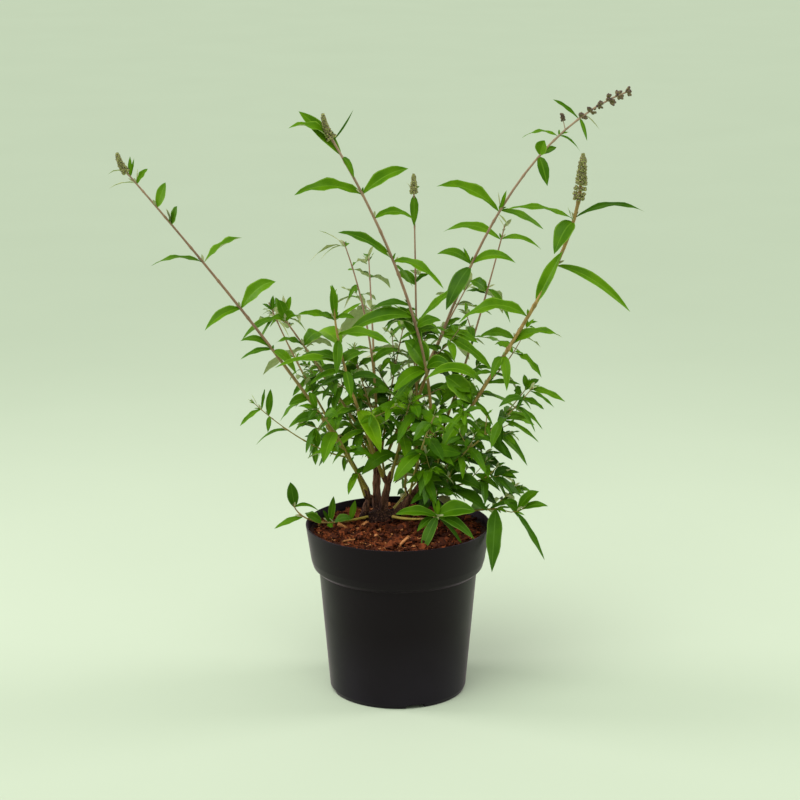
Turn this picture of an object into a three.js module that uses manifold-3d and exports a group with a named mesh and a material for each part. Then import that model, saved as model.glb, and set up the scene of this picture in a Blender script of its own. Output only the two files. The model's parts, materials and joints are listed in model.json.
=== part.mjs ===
// A butterfly bush in its nursery pot: the pot, the bark mulch that fills it, the woody root crown,
// the bare canes, and a leafy spray at the end of each cane or straight off the crown.
// Millimetres, +Z up, -Y is the front. The origin is the centre of the pot's underside.
import * as THREE from 'three';
import { mergeVertices } from 'three/addons/utils/BufferGeometryUtils.js';
import Module from 'manifold-3d';

const wasm = await Module();
wasm.setup();

// ---------------------------------------------------------------- driving sizes
const GAP = 0.35; // clearance between neighbours
const TINY = 0.05; // edges shorter than this are closed up
const UP = new THREE.Vector3(0, 0, 1);

const POT = {
  height: 196,
  rimRadius: 105,
  collarTop: 99, // radius where the collar starts to round under
  collarFoot: 96,
  neckRadius: 90, // body, just under the collar
  baseRadius: 78,
  collarDrop: 40, // from the rim to the start of the rounding
  collarDepth: 53, // from the rim to the collar's lower edge
  wall: 1.6,
  floor: 2,
  discRadius: 50, // the flat middle of the underside
  channel: 4, // height of the drain channel round the disc
  footWidth: 7, // width of the foot ring
  sides: 32,
};
const NOTCH = { count: 4, width: 21, height: 4.5, firstTurn: -75 };
const DRAIN = { count: 8, radius: 5, ring: 61 };
const MULCH = { top: 190, heap: 58, edge: 186 };

// The root crown and the old limbs that were cut back to stubs. Each limb has its foot in the
// mulch, a heading (0 is +X, 90 is +Y), a lean from the vertical, a length and two radii.
const ROOT_CROWN = { x: -19, y: 25, reach: 23, depth: 17, height: 14 };
const LIMBS = {
  trunk: { foot: [-20, 25, 186], heading: 20, lean: 10, length: 52, radii: [5.6, 4.0] },
  right: { foot: [-12, 22, 186], heading: -10, lean: 38, length: 64, radii: [5.4, 3.8] },
  left: { foot: [-44, 20, 186], heading: 10, lean: 20, length: 38, radii: [4.6, 3.2] },
  back: { foot: [-24, 34, 186], heading: 95, lean: 5, length: 78, radii: [5.4, 3.8] },
};
const ROOT_RIDGE_RADIUS = 5;

// One line for each shoot. foot: where it starts; limb: what carries it. heading, lean at the foot
// and at the tip, and bend, the power that shares the lean out along it. cane: the share that is a
// bare limb of its own; first: where the leaves begin. pairs of leaves, their length, the roll of
// a pair round the stem and the twist of every second pair. Other values have defaults below.
const SHOOTS = [
  { name: 'far_left', limb: 'left', foot: [-37, 22, 230], radius: 2.6, heading: 175, lean: [15, 41],
    bend: 0.2, length: 472, cane: 0.22, first: 0.26, pairs: 7, leaf: 50, roll: 80, twist: 25,
    spike: 'bud', spikeLength: 25, twigs: 0.15, twig: 25 },
  { name: 'left_back', limb: 'left', foot: [-36, 29, 230], radius: 1.8, heading: 150, lean: [35, 26],
    bend: 3, length: 240, cane: 0.36, first: 0.4, pairs: 4, leaf: 46, roll: 70, twist: 60, twigs: 0.1 },
  { name: 'left_inner', limb: 'back', foot: [-31, 36, 270], radius: 1.8, heading: 195, lean: [15, 35],
    bend: 0.2, length: 187, cane: 0.26, first: 0.3, pairs: 4, leaf: 46, roll: 60, twist: 70, twigs: 0.1 },
  { name: 'front_left', limb: 'trunk', foot: [-18, 23, 246], radius: 2.4, heading: 215, lean: [22, -1],
    bend: 3, length: 234, cane: 0.26, first: 0.3, pairs: 4, leaf: 62, roll: 20, twist: 80, twigs: 0.2 },
  { name: 'back_wisp', limb: 'back', foot: [-25, 43, 276], radius: 1.7, heading: 125, lean: [-4, 36],
    length: 240, cane: 0.41, first: 0.45, pairs: 3, leaf: 50, roll: 10, twist: 70, droop: 1.6,
    wide: 0.18 },
  { name: 'centre', limb: 'right', foot: [27, 12, 252], radius: 2.4, heading: 175, lean: [-66, 32],
    bend: 0.2, length: 431, cane: 0.24, first: 0.28, pairs: 6, leaf: 62, roll: 80, twist: 25,
    spike: 'bud', spikeLength: 30, twigs: 0.15 },
  { name: 'middle_thin', limb: 'right', foot: [21, 24, 250], radius: 1.7, heading: 95, lean: [-33, 15],
    bend: 0.2, length: 340, cane: 0.46, first: 0.5, pairs: 3, leaf: 45, roll: 0, twist: 90,
    spike: 'bud', spikeLength: 24, twigs: 0.1 },
  { name: 'right_tall', limb: 'trunk', foot: [-7, 29, 248], radius: 3, heading: 15, lean: [20, 73],
    bend: 3, length: 526, cane: 0.28, first: 0.32, pairs: 5, leaf: 66, roll: 80, twist: 25,
    spike: 'seed', spikeLength: 68, twigs: 0.15 },
  { name: 'right_back', limb: 'right', foot: [31, 24, 249], radius: 1.8, heading: 45, lean: [50, 21],
    bend: 0.2, length: 300, cane: 0.31, first: 0.35, pairs: 4, leaf: 62, roll: 60, twist: 60, twigs: 0.2 },
  { name: 'right_bud', limb: 'right', foot: [33, 14, 247], radius: 2.7, heading: -10, lean: [31, -10],
    bend: 5, length: 413, cane: 0.24, first: 0.28, pairs: 5, leaf: 74, roll: 80, twist: 25,
    spike: 'bud', spikeLength: 50, twigs: 0.2 },
  { name: 'low_right', limb: 'right', foot: [36, 8, 243], radius: 1.3, heading: -20, lean: [48, 36],
    bend: 3, length: 170, cane: 0.26, first: 0.3, pairs: 4, leaf: 38, roll: 0, twist: 90,
    twigs: 0.4, twig: 30 },
  { name: 'low_left', parent: 'far_left', share: 0.09, stand: 4.1, radius: 1, heading: 190,
    lean: [85, 45], bend: 0.4, length: 126, first: 0.2, pairs: 5, leaf: 32, roll: 80, twist: 60 },
  { name: 'creeper', limb: 'crown', foot: [-37, 14, 198], radius: 1.6, heading: 195, lean: [97, 16],
    bend: 2.5, length: 96, cane: 0.26, first: 0.3, pairs: 3, leaf: 32, roll: 60, twist: 60, droop: 0.5 },
  { name: 'front_rosette', limb: 'crown', foot: [-4, 9, 200], radius: 1.8, heading: -48,
    lean: [85, 68], length: 74, cane: 0.6, first: 0.85, pairs: 2, leaf: 54, roll: 0, twist: 60,
    droop: 1.3, open: 85, low: 1, fade: 0.3 },
  { name: 'rim_right', limb: 'crown', foot: [7, 16, 201], radius: 1.8, heading: -14, lean: [84, 80],
    length: 112, cane: 0.5, first: 0.7, pairs: 3, leaf: 64, roll: 0, twist: 60, droop: 1.8, open: 80,
    low: 1 },
  { name: 'rim_right_end', parent: 'rim_right', share: 0.9, stand: 5.1, radius: 0.9, heading: 40,
    lean: [70, 60], length: 35, first: 0.4, pairs: 2, leaf: 38, roll: 0, twist: 50, droop: 1.4 },
  { name: 'stub_shoot', limb: 'right', foot: [27, 5, 240], radius: 1.6, heading: -30, lean: [50, 10],
    length: 50, first: 0.4, pairs: 2, leaf: 52, roll: 0, twist: 60, low: 1 },
  { name: 'short_right', limb: 'right', foot: [36, 17, 237], radius: 1.3, heading: 5, lean: [70, 20],
    length: 60, first: 0.4, pairs: 2, leaf: 40, roll: 0, twist: 80 },
  { name: 'upper_right', limb: 'right', foot: [39, 20, 244], radius: 1.3, heading: 4, lean: [56, 36],
    length: 150, first: 0.35, pairs: 4, leaf: 40, roll: 20, twist: 80, twigs: 0.1, twig: 30 },
  { name: 'right_skirt', limb: 'right', foot: [34, 5, 233], radius: 1.3, heading: -10,
    lean: [78, 72], length: 88, first: 0.3, pairs: 4, leaf: 40, roll: 10, twist: 80, twigs: 0.1,
    twig: 30 },
  { name: 'front_fan', limb: 'crown', foot: [10, 9, 206], radius: 1.5, heading: -18, lean: [72, 15],
    length: 82, first: 0.4, pairs: 3, leaf: 50, roll: 10, twist: 80, low: 1 },
  { name: 'heart_front', limb: 'trunk', foot: [-7, 22, 244], radius: 1.5, heading: -60,
    lean: [20, 25], length: 105, first: 0.3, pairs: 3, leaf: 52, roll: 20, twist: 80, twigs: 0.1 },
  { name: 'heart_left', limb: 'trunk', foot: [-16, 31, 248], radius: 1.5, heading: 165,
    lean: [8, 22], length: 130, first: 0.2, pairs: 4, leaf: 46, roll: 70, twist: 80, twigs: 0.1 },
  { name: 'heart_back', limb: 'back', foot: [-18, 45, 272], radius: 1.5, heading: 60,
    lean: [15, 25], length: 140, first: 0.2, pairs: 4, leaf: 50, roll: 70, twist: 80, twigs: 0.1 },
  { name: 'heart_right', limb: 'right', foot: [8, 26, 232], radius: 1.5, heading: 80,
    lean: [25, 28], length: 165, first: 0.2, pairs: 4, leaf: 52, roll: 70, twist: 80, twigs: 0.1 },
  { name: 'low_front_left', limb: 'left', foot: [-39, 15, 226], radius: 1.4, heading: -125,
    lean: [25, 48], length: 150, first: 0.2, pairs: 4, leaf: 44, roll: 70, twist: 80, twigs: 0.1 },
  { name: 'low_front_right', limb: 'right', foot: [14, 9, 230], radius: 1.5, heading: -75,
    lean: [32, 50], length: 155, first: 0.2, pairs: 4, leaf: 46, roll: 70, twist: 80, twigs: 0.1 },
  { name: 'back_middle', limb: 'back', foot: [-23, 48, 258], radius: 1.8, heading: 95,
    lean: [25, 40], length: 250, cane: 0.26, first: 0.3, pairs: 4, leaf: 55, roll: 70, twist: 80,
    twigs: 0.1 },
  { name: 'back_right', limb: 'back', foot: [-14, 46, 260], radius: 1.8, heading: 50,
    lean: [35, 45], length: 230, cane: 0.26, first: 0.3, pairs: 4, leaf: 52, roll: 70, twist: 80,
    twigs: 0.1 },
  { name: 'back_left', limb: 'back', foot: [-33, 45, 260], radius: 1.8, heading: 140,
    lean: [35, 50], length: 210, cane: 0.26, first: 0.3, pairs: 4, leaf: 50, roll: 70, twist: 80,
    twigs: 0.1 },
  { name: 'low_back', limb: 'crown', foot: [-5, 42, 200], radius: 1.4, heading: 50,
    lean: [60, 65], length: 120, first: 0.2, pairs: 4, leaf: 40, roll: 70, twist: 80, twigs: 0.1 },
];
const SHOOT_DEFAULTS = {
  bend: 1, cane: 0, open: 75, droop: 1.25, wide: 0.35, low: 0.8, fade: 0.5, twigs: 0, twig: 40,
  spikeLength: 0,
};

const STEPS = 24; // straight pieces in a shoot's line
const TIP_SHARE = 0.4; // a shoot's tip radius, as a share of its foot radius
const CROWDING = 1.3; // how fast the pairs of leaves draw together towards the tip
const LIGHT = new THREE.Vector3(0, -0.55, 0.835); // leaves turn their upper faces to it
const LIGHT_SHARE = 0.75;
const REST_RISE = 18; // degrees above level that a grown leaf settles to
const TRIES = [0, 28, -28, 56]; // extra roll, degrees, for a leaf that meets something
const TWIG = { open: 38, rise: 0.4, radius: 0.9, first: 0.5, pairs: 1, leafShare: 0.55 };
// A leaf's outline: its half width and its place along the midrib, as shares.
const outline = (points) => points.map(([width, place]) => new THREE.Vector2(width, place));
const LONG_BLADE = outline([[0, 0], [1, 0.3], [0.78, 0.62], [0, 1]]);
const SHORT_BLADE = outline([[0, 0], [1, 0.4], [0, 1]]);
const SMALL_LEAF = 34; // shorter leaves have the short outline
const KEEL = 0.032; // depth of a leaf's keel, as a share of its length
const SUNK = 0.5; // a leaf's root lies this far past its stem's axis
const SPIKE_RADIUS = { bud: 4.6, seed: 4.8 };
const WHORLS = { bud: 9, seed: 13 }; // millimetres from one whorl of a spike to the next

const COLOURS = {
  pot: [0x1d1b1c, 0.45],
  mulch: [0x5a2a18, 0.95],
  crown: [0x4a3226, 0.9],
  cane: [0x8a6a48, 0.8],
  spray: [0x3f7a1c, 0.7],
};

// ---------------------------------------------------------------- solids
const radians = THREE.MathUtils.degToRad;

// A closed three.js geometry as a manifold solid: only positions are kept, and shared.
function solid(geometry) {
  const bare = geometry.index ? geometry.toNonIndexed() : geometry.clone();
  bare.deleteAttribute('normal');
  bare.deleteAttribute('uv');
  const merged = mergeVertices(bare, 1e-4);
  return new wasm.Manifold(new wasm.Mesh({
    numProp: 3,
    vertProperties: new Float32Array(merged.attributes.position.array),
    triVerts: new Uint32Array(merged.index.array),
  }));
}

// The solid as a named mesh. A scrap or a sealed hollow that the joins left is dropped.
function named(name, body, [colour, roughness]) {
  const pieces = body.decompose();
  pieces.sort((a, b) => b.volume() - a.volume());
  const mesh = pieces[0].simplify(TINY).getMesh();
  const geometry = new THREE.BufferGeometry();
  geometry.setAttribute('position', new THREE.BufferAttribute(new Float32Array(mesh.vertProperties), 3));
  geometry.setIndex(new THREE.BufferAttribute(new Uint32Array(mesh.triVerts), 1));
  geometry.computeVertexNormals();
  const material = new THREE.MeshStandardMaterial({ color: colour, roughness, metalness: 0 });
  const piece = new THREE.Mesh(geometry, material);
  piece.name = name;
  return piece;
}

// Moves every vertex of a geometry by a rule, point by point.
function shaped(geometry, rule) {
  const place = geometry.attributes.position;
  const point = new THREE.Vector3();
  for (let i = 0; i < place.count; i += 1) {
    rule(point.fromBufferAttribute(place, i));
    place.setXYZ(i, point.x, point.y, point.z);
  }
  return geometry;
}

// A profile of [radius, height] points turned round the Z axis.
function turned(profile, sides) {
  const outline = profile.map(([radius, height]) => new THREE.Vector2(radius, height));
  return new THREE.LatheGeometry(outline, sides).rotateX(Math.PI / 2);
}

// ---------------------------------------------------------------- pot and mulch
// The pot's inner line, from the axis out over the floor and up to the rim.
function potInside() {
  const { height, rimRadius, collarTop, collarFoot, neckRadius, baseRadius } = POT;
  const { collarDrop, collarDepth, wall, floor, discRadius, channel } = POT;
  return [
    [0, floor],
    [discRadius + 1, floor],
    [discRadius + 4, floor + channel],
    [baseRadius - wall, floor + channel],
    [neckRadius - wall, height - collarDepth - 5],
    [collarFoot - wall, height - collarDepth + wall + 2],
    [collarTop - wall, height - collarDrop],
    [rimRadius - wall, height],
  ];
}

function potSolid() {
  const { height, rimRadius, collarTop, collarFoot, neckRadius, baseRadius } = POT;
  const { collarDrop, collarDepth, discRadius, channel, footWidth } = POT;
  const outside = [
    [0, 0],
    [discRadius, 0],
    [discRadius + 4, channel],
    [baseRadius - footWidth - 2, channel],
    [baseRadius - footWidth, 0],
    [baseRadius - 3, 0],
    [baseRadius, 4],
    [neckRadius, height - collarDepth - 5],
    [collarFoot - 2, height - collarDepth],
    [collarFoot, height - collarDepth + 2],
    [collarTop, height - collarDrop],
    [rimRadius, height - 1],
    [rimRadius - 0.5, height],
  ];
  let pot = solid(turned([...outside, ...potInside().reverse()], POT.sides));
  for (let i = 0; i < NOTCH.count; i += 1) {
    const turn = radians(NOTCH.firstTurn + (360 / NOTCH.count) * i);
    const cutter = new THREE.BoxGeometry(footWidth * 3, NOTCH.width, NOTCH.height * 2);
    cutter.translate(baseRadius, 0, 0);
    pot = pot.subtract(solid(cutter.rotateZ(turn)));
  }
  for (let i = 0; i < DRAIN.count; i += 1) {
    const turn = radians(NOTCH.firstTurn + (360 / DRAIN.count) * (i + 0.5));
    const cutter = new THREE.CylinderGeometry(DRAIN.radius, DRAIN.radius, 20, 8).rotateX(Math.PI / 2);
    cutter.translate(DRAIN.ring, 0, 0);
    pot = pot.subtract(solid(cutter.rotateZ(turn)));
  }
  return pot;
}

// The mulch fills the pot: the pot's inner line moved in by the gap, under a low flat heap.
function mulchSolid() {
  const wallLine = potInside().map(([radius, height]) => [Math.max(0, radius - GAP), height + GAP]);
  const below = wallLine.filter(([, height]) => height < MULCH.edge);
  const [lowRadius, lowHeight] = below[below.length - 1];
  const [topRadius, topHeight] = wallLine[wallLine.length - 1];
  const share = (MULCH.edge - lowHeight) / (topHeight - lowHeight);
  const edgeRadius = lowRadius + (topRadius - lowRadius) * share;
  const surface = [[edgeRadius, MULCH.edge], [MULCH.heap, MULCH.top], [0, MULCH.top]];
  return solid(turned([...below, ...surface], POT.sides));
}

// ---------------------------------------------------------------- lines of growth
// The direction with a heading and a lean from the vertical.
function aim(heading, lean) {
  const turn = radians(heading);
  const tilt = radians(lean);
  return new THREE.Vector3(Math.sin(tilt) * Math.cos(turn), Math.sin(tilt) * Math.sin(turn), Math.cos(tilt));
}

// The level direction square to a heading.
function acrossOf(heading) {
  const turn = radians(heading);
  return new THREE.Vector3(Math.sin(turn), -Math.cos(turn), 0);
}

// A value from 0 to 1 that looks random and is the same each time.
function chance(seed, key, channel) {
  const wave = Math.sin(seed * 127.1 + key * 311.7 + channel * 74.7) * 43758.5453;
  return wave - Math.floor(wave);
}

// The point and the direction at a share of a line of points.
function along(line, share) {
  const last = line.length - 1;
  const step = Math.min(Math.floor(share * last), last - 1);
  const start = line[step];
  const run = line[step + 1].clone().sub(start);
  const point = start.clone().addScaledVector(run, share * last - step);
  return { point, direction: run.normalize() };
}

// A line that starts in a direction and bends down by droop, or up where droop is negative.
function arched(root, direction, length, droop, share) {
  const point = root.clone().addScaledVector(direction, length * share);
  return point.addScaledVector(UP, -0.5 * length * droop * share * share);
}

// The lean of one of the straight pieces of a shoot's line.
function leanAt(shoot, step) {
  const [footLean, tipLean] = shoot.lean;
  return footLean + (tipLean - footLean) * ((step + 0.5) / STEPS) ** shoot.bend;
}

function shootLine(shoot, lines) {
  let point = new THREE.Vector3(...(shoot.foot ?? [0, 0, 0]));
  if (shoot.parent) {
    point = along(lines[shoot.parent], shoot.share).point;
    point.addScaledVector(aim(shoot.heading, shoot.lean[0]), shoot.stand);
  }
  const line = [point.clone()];
  for (let i = 0; i < STEPS; i += 1) {
    point.addScaledVector(aim(shoot.heading, leanAt(shoot, i)), shoot.length / STEPS);
    line.push(point.clone());
  }
  return line;
}

// A tapered stem along part of a line that lies in one plane, square to across.
function stem(line, across, from, to, radii, sides, rows) {
  const tube = new THREE.CylinderGeometry(1, 1, 1, sides, rows);
  return solid(shaped(tube, (p) => {
    const share = p.y + 0.5;
    const { point, direction } = along(line, Math.min(from + (to - from) * share, 1));
    const radius = radii[0] + (radii[1] - radii[0]) * share;
    const other = across.clone().cross(direction);
    const { x, z } = p;
    p.copy(point).addScaledVector(across, x * radius).addScaledVector(other, z * radius);
  }));
}

// ---------------------------------------------------------------- leaves, twigs and spikes
// Turns a direction part of the way to a leaf's resting rise.
function settled(direction, calm) {
  const flat = Math.hypot(direction.x, direction.y);
  const rise = Math.atan2(direction.z, flat);
  const eased = rise + calm * (radians(REST_RISE) - rise);
  const level = Math.cos(eased) / flat;
  return new THREE.Vector3(direction.x * level, direction.y * level, Math.sin(eased));
}

// Where a leaf sets out from its stem: its direction, and the direction across its blade.
function leafSet(direction, across, roll, open, calm, tilt) {
  const top = across.clone().cross(direction);
  const outward = across.clone().multiplyScalar(Math.cos(roll)).addScaledVector(top, Math.sin(roll));
  const straight = direction.clone().multiplyScalar(Math.cos(open)).addScaledVector(outward, Math.sin(open));
  const ahead = settled(straight, calm);
  const side = direction.clone().cross(outward);
  side.addScaledVector(ahead, -side.dot(ahead)).normalize();
  const lit = LIGHT.clone().cross(ahead).normalize();
  if (lit.dot(side) < 0) {
    lit.negate();
  }
  side.lerp(lit, LIGHT_SHARE).normalize();
  const face = ahead.clone().cross(side);
  side.multiplyScalar(Math.cos(tilt)).addScaledVector(face, Math.sin(tilt));
  return { ahead, side };
}

// One leaf: a three-sided blade, flat on top with a keel below, from a root sunk in the stem to
// its point.
function leafSolid(leaf) {
  const blade = new THREE.LatheGeometry(leaf.length < SMALL_LEAF ? SHORT_BLADE : LONG_BLADE, 3);
  const half = (leaf.length * leaf.wide) / 2;
  return solid(shaped(blade, (p) => {
    const sideways = (p.x / Math.sin(Math.PI / 3)) * half;
    const keel = Math.max(p.z, 0) * leaf.length * KEEL;
    const bent = leaf.ahead.clone().addScaledVector(UP, -leaf.droop * p.y).normalize();
    const face = bent.cross(leaf.side).normalize();
    p.copy(arched(leaf.root, leaf.ahead, leaf.length, leaf.droop, p.y));
    p.addScaledVector(leaf.side, sideways).addScaledVector(face, -keel);
  }));
}

// A spike of buds or a spent head of seed capsules: whorls round the end of the shoot.
function spikeSolid(shoot, line, across) {
  const whorls = Math.max(3, Math.round(shoot.spikeLength / WHORLS[shoot.spike]));
  const waist = shoot.spike === 'seed' ? 0.3 : 0.62;
  const profile = [[0, 0]];
  for (let i = 0; i < whorls; i += 1) {
    const fullness = SPIKE_RADIUS[shoot.spike] * (1 - 0.5 * ((i + 0.5) / whorls) ** 2);
    profile.push([fullness * waist, (i + 0.05) / whorls], [fullness, (i + 0.5) / whorls]);
  }
  profile.push([0, 1]);
  const start = 1 - shoot.spikeLength / shoot.length;
  return solid(shaped(turned(profile, 6), (p) => {
    const { point, direction } = along(line, Math.min(start + p.z * (1 - start), 1));
    const other = across.clone().cross(direction);
    const { x, y } = p;
    p.copy(point).addScaledVector(other, x).addScaledVector(across, y);
  }));
}

// The pairs of leaves on a line, and the twigs in their axils. Each leaf is given as the list of
// its tries, and each twig with the leaves that it carries.
function pairsOn(line, across, shoot, seed, plan) {
  const leaves = [];
  const twigs = [];
  for (let k = 0; k <= plan.pairs; k += 1) {
    const u = k / plan.pairs;
    const share = plan.first + (plan.last - plan.first) * (1 - (1 - u) ** CROWDING);
    const { point, direction } = along(line, Math.min(share, 0.995));
    const young = shoot.low + (1 - shoot.low) * Math.min(1, u / 0.3);
    const size = plan.leaf * young * (1 - shoot.fade * Math.max(0, (u - 0.5) / 0.5) ** 1.5);
    for (let half = 0; half < 2; half += 1) {
      const key = plan.key + k * 2 + half;
      const sway = (channel) => chance(seed, key, channel) * 2 - 1;
      const roll = shoot.roll + shoot.twist * (k % 2) + plan.turn + 180 * half;
      const open = radians(shoot.open + 12 * sway(1) - 40 * u ** 2);
      const tilt = radians(22 * sway(8));
      leaves.push(TRIES.map((extra) => {
        const set = leafSet(direction, across, radians(roll + 18 * sway(4) + extra), open, 0.5 * (1 - u), tilt);
        return {
          ...set,
          root: point.clone().addScaledVector(set.ahead, -SUNK),
          length: size * (1 + 0.18 * sway(3)),
          droop: shoot.droop * (1 + 0.4 * sway(2)) * (1 - 0.5 * u * u),
          wide: shoot.wide,
        };
      }));
      const branches = !plan.onTwig && k > 0 && k < plan.pairs && chance(seed, key, 5) < shoot.twigs;
      if (branches) {
        const twigRoll = radians(roll + 20 * sway(7));
        const { ahead } = leafSet(direction, across, twigRoll, radians(TWIG.open), 0, 0);
        const length = shoot.twig * (0.6 + 0.8 * chance(seed, key, 6)) * (1 - 0.5 * u);
        twigs.push(twigOn(point, ahead, length, shoot, seed, plan.leaf, key));
      }
    }
  }
  return { leaves, twigs };
}

function twigOn(point, ahead, length, shoot, seed, leaf, key) {
  const line = [0, 1, 2, 3, 4].map((i) => arched(point, ahead, length, -TWIG.rise, i / 4));
  const across = ahead.clone().cross(UP).normalize();
  const plan = {
    pairs: TWIG.pairs,
    first: TWIG.first,
    last: 1,
    leaf: leaf * TWIG.leafShare,
    turn: 90,
    key: 100 + key * 20,
    onTwig: true,
  };
  return {
    wood: stem(line, across, 0, 1, [TWIG.radius, TWIG.radius * 0.6], 3, 2),
    leaves: pairsOn(line, across, shoot, seed, plan).leaves,
  };
}

// ---------------------------------------------------------------- clearance
function clearOf(body, others) {
  const own = body.boundingBox();
  return others.every((other) => {
    const box = other.box;
    const apart = [0, 1, 2].some((i) => own.min[i] > box.max[i] + GAP || own.max[i] < box.min[i] - GAP);
    return apart || body.minGap(other.body, GAP * 2) >= GAP;
  });
}

const boxed = (body) => ({ body, box: body.boundingBox() });

// ---------------------------------------------------------------- crown and canes
function limbSolid(limb) {
  const direction = aim(limb.heading, limb.lean);
  const foot = new THREE.Vector3(...limb.foot);
  const line = [foot, foot.clone().addScaledVector(direction, limb.length)];
  return stem(line, acrossOf(limb.heading), 0, 1, limb.radii, 6, 1);
}

// The short stub that carries a shoot: from inside its limb to the shoot's foot.
function stubSolid(shoot) {
  const foot = new THREE.Vector3(...shoot.foot);
  const start = new THREE.Vector3(ROOT_CROWN.x, ROOT_CROWN.y, MULCH.top + 4);
  if (shoot.limb !== 'crown') {
    const limb = LIMBS[shoot.limb];
    const limbFoot = new THREE.Vector3(...limb.foot);
    const limbTip = limbFoot.clone().addScaledVector(aim(limb.heading, limb.lean), limb.length - 3);
    new THREE.Line3(limbFoot, limbTip).closestPointToPoint(foot, true, start);
    start.z -= 2;
  }
  const direction = aim(shoot.heading, leanAt(shoot, 0));
  const end = foot.clone().addScaledVector(direction, -GAP);
  const knee = end.clone().addScaledVector(direction, -0.5 * end.distanceTo(start));
  const line = new THREE.QuadraticBezierCurve3(start, knee, end).getPoints(16);
  const across = knee.clone().sub(start).cross(end.clone().sub(start));
  const plane = across.length() > 1e-3 ? across.normalize() : acrossOf(shoot.heading);
  return stem(line, plane, 0, 1, [shoot.radius * 1.35, shoot.radius * 1.15], 4, 2);
}

function crownSolid() {
  const { x, y, reach, depth, height } = ROOT_CROWN;
  let crown = solid(new THREE.SphereGeometry(1, 10, 6).scale(reach, depth, height).translate(x, y, MULCH.top));
  for (const limb of Object.values(LIMBS)) {
    crown = crown.add(limbSolid(limb));
  }
  const root = new THREE.Vector3(x, y, MULCH.top);
  const leftFoot = new THREE.Vector3(...LIMBS.left.foot).setZ(MULCH.top);
  crown = crown.add(stem([root, leftFoot], new THREE.Vector3(0, 0, 1), 0, 1,
    [ROOT_RIDGE_RADIUS * 1.5, ROOT_RIDGE_RADIUS], 6, 1));
  for (const shoot of SHOOTS.filter((each) => each.foot)) {
    crown = crown.add(stubSolid(shoot));
  }
  const ground = new THREE.BoxGeometry(200, 200, 60).translate(0, 0, MULCH.top + GAP - 30);
  return crown.subtract(solid(ground));
}

// ---------------------------------------------------------------- assembly
const bush = new THREE.Group();
const fixed = [];

function keep(name, body, finish) {
  bush.add(named(name, body, finish));
  fixed.push(boxed(body));
}

for (const shoot of SHOOTS) {
  Object.assign(shoot, { ...SHOOT_DEFAULTS, ...shoot });
}

keep('pot', potSolid(), COLOURS.pot);
keep('mulch', mulchSolid(), COLOURS.mulch);
keep('root_crown', crownSolid(), COLOURS.crown);

const lines = {};
const sprays = [];
SHOOTS.forEach((shoot, index) => {
  const line = shootLine(shoot, lines);
  lines[shoot.name] = line;
  const across = acrossOf(shoot.heading);
  const radiusAt = (share) => shoot.radius * (1 - (1 - TIP_SHARE) * share);
  if (shoot.cane > 0) {
    const rows = Math.max(2, Math.round(STEPS * shoot.cane * 0.5));
    const cane = stem(line, across, 0, shoot.cane, [shoot.radius, radiusAt(shoot.cane)], 6, rows);
    keep(`${shoot.name}_cane`, cane, COLOURS.cane);
  }
  const from = shoot.cane > 0 ? shoot.cane + GAP / shoot.length : 0;
  let core = stem(line, across, from, 1, [radiusAt(from), radiusAt(1)], 3, 8);
  if (shoot.spike) {
    core = core.add(spikeSolid(shoot, line, across));
  }
  sprays.push({ shoot, seed: index + 1, line, across, core: boxed(core) });
});

sprays.forEach((spray) => {
  const { shoot, seed, line, across } = spray;
  const others = [...fixed, ...sprays.filter((each) => each !== spray).map((each) => each.core)];
  const plan = {
    pairs: shoot.pairs,
    first: shoot.first,
    last: 1 - shoot.spikeLength / shoot.length,
    leaf: shoot.leaf,
    turn: 0,
    key: 0,
    onTwig: false,
  };
  const { leaves, twigs } = pairsOn(line, across, shoot, seed, plan);
  const free = twigs.filter((twig) => clearOf(twig.wood, others));
  let body = spray.core.body;
  for (const twig of free) {
    body = body.add(twig.wood);
  }
  for (const tries of [...leaves, ...free.flatMap((twig) => twig.leaves)]) {
    const fitting = tries.map(leafSolid).find((leaf) => clearOf(leaf, others));
    if (fitting) {
      body = body.add(fitting);
    }
  }
  spray.core = boxed(body);
  bush.add(named(`${shoot.name}_spray`, body, COLOURS.spray));
});

export default bush;
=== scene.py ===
"""A butterfly bush in its nursery pot: bark, canes, twigs, leaves and flower spikes grown by rule,
bark mulch and a black moulded pot, on a pale floor in soft studio light.

Lengths in the tables are millimetres and angles degrees; everything placed in Blender is metres.
"""
import json
import math

import bmesh
import bpy
from mathutils import Matrix, Vector, kdtree, noise

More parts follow.
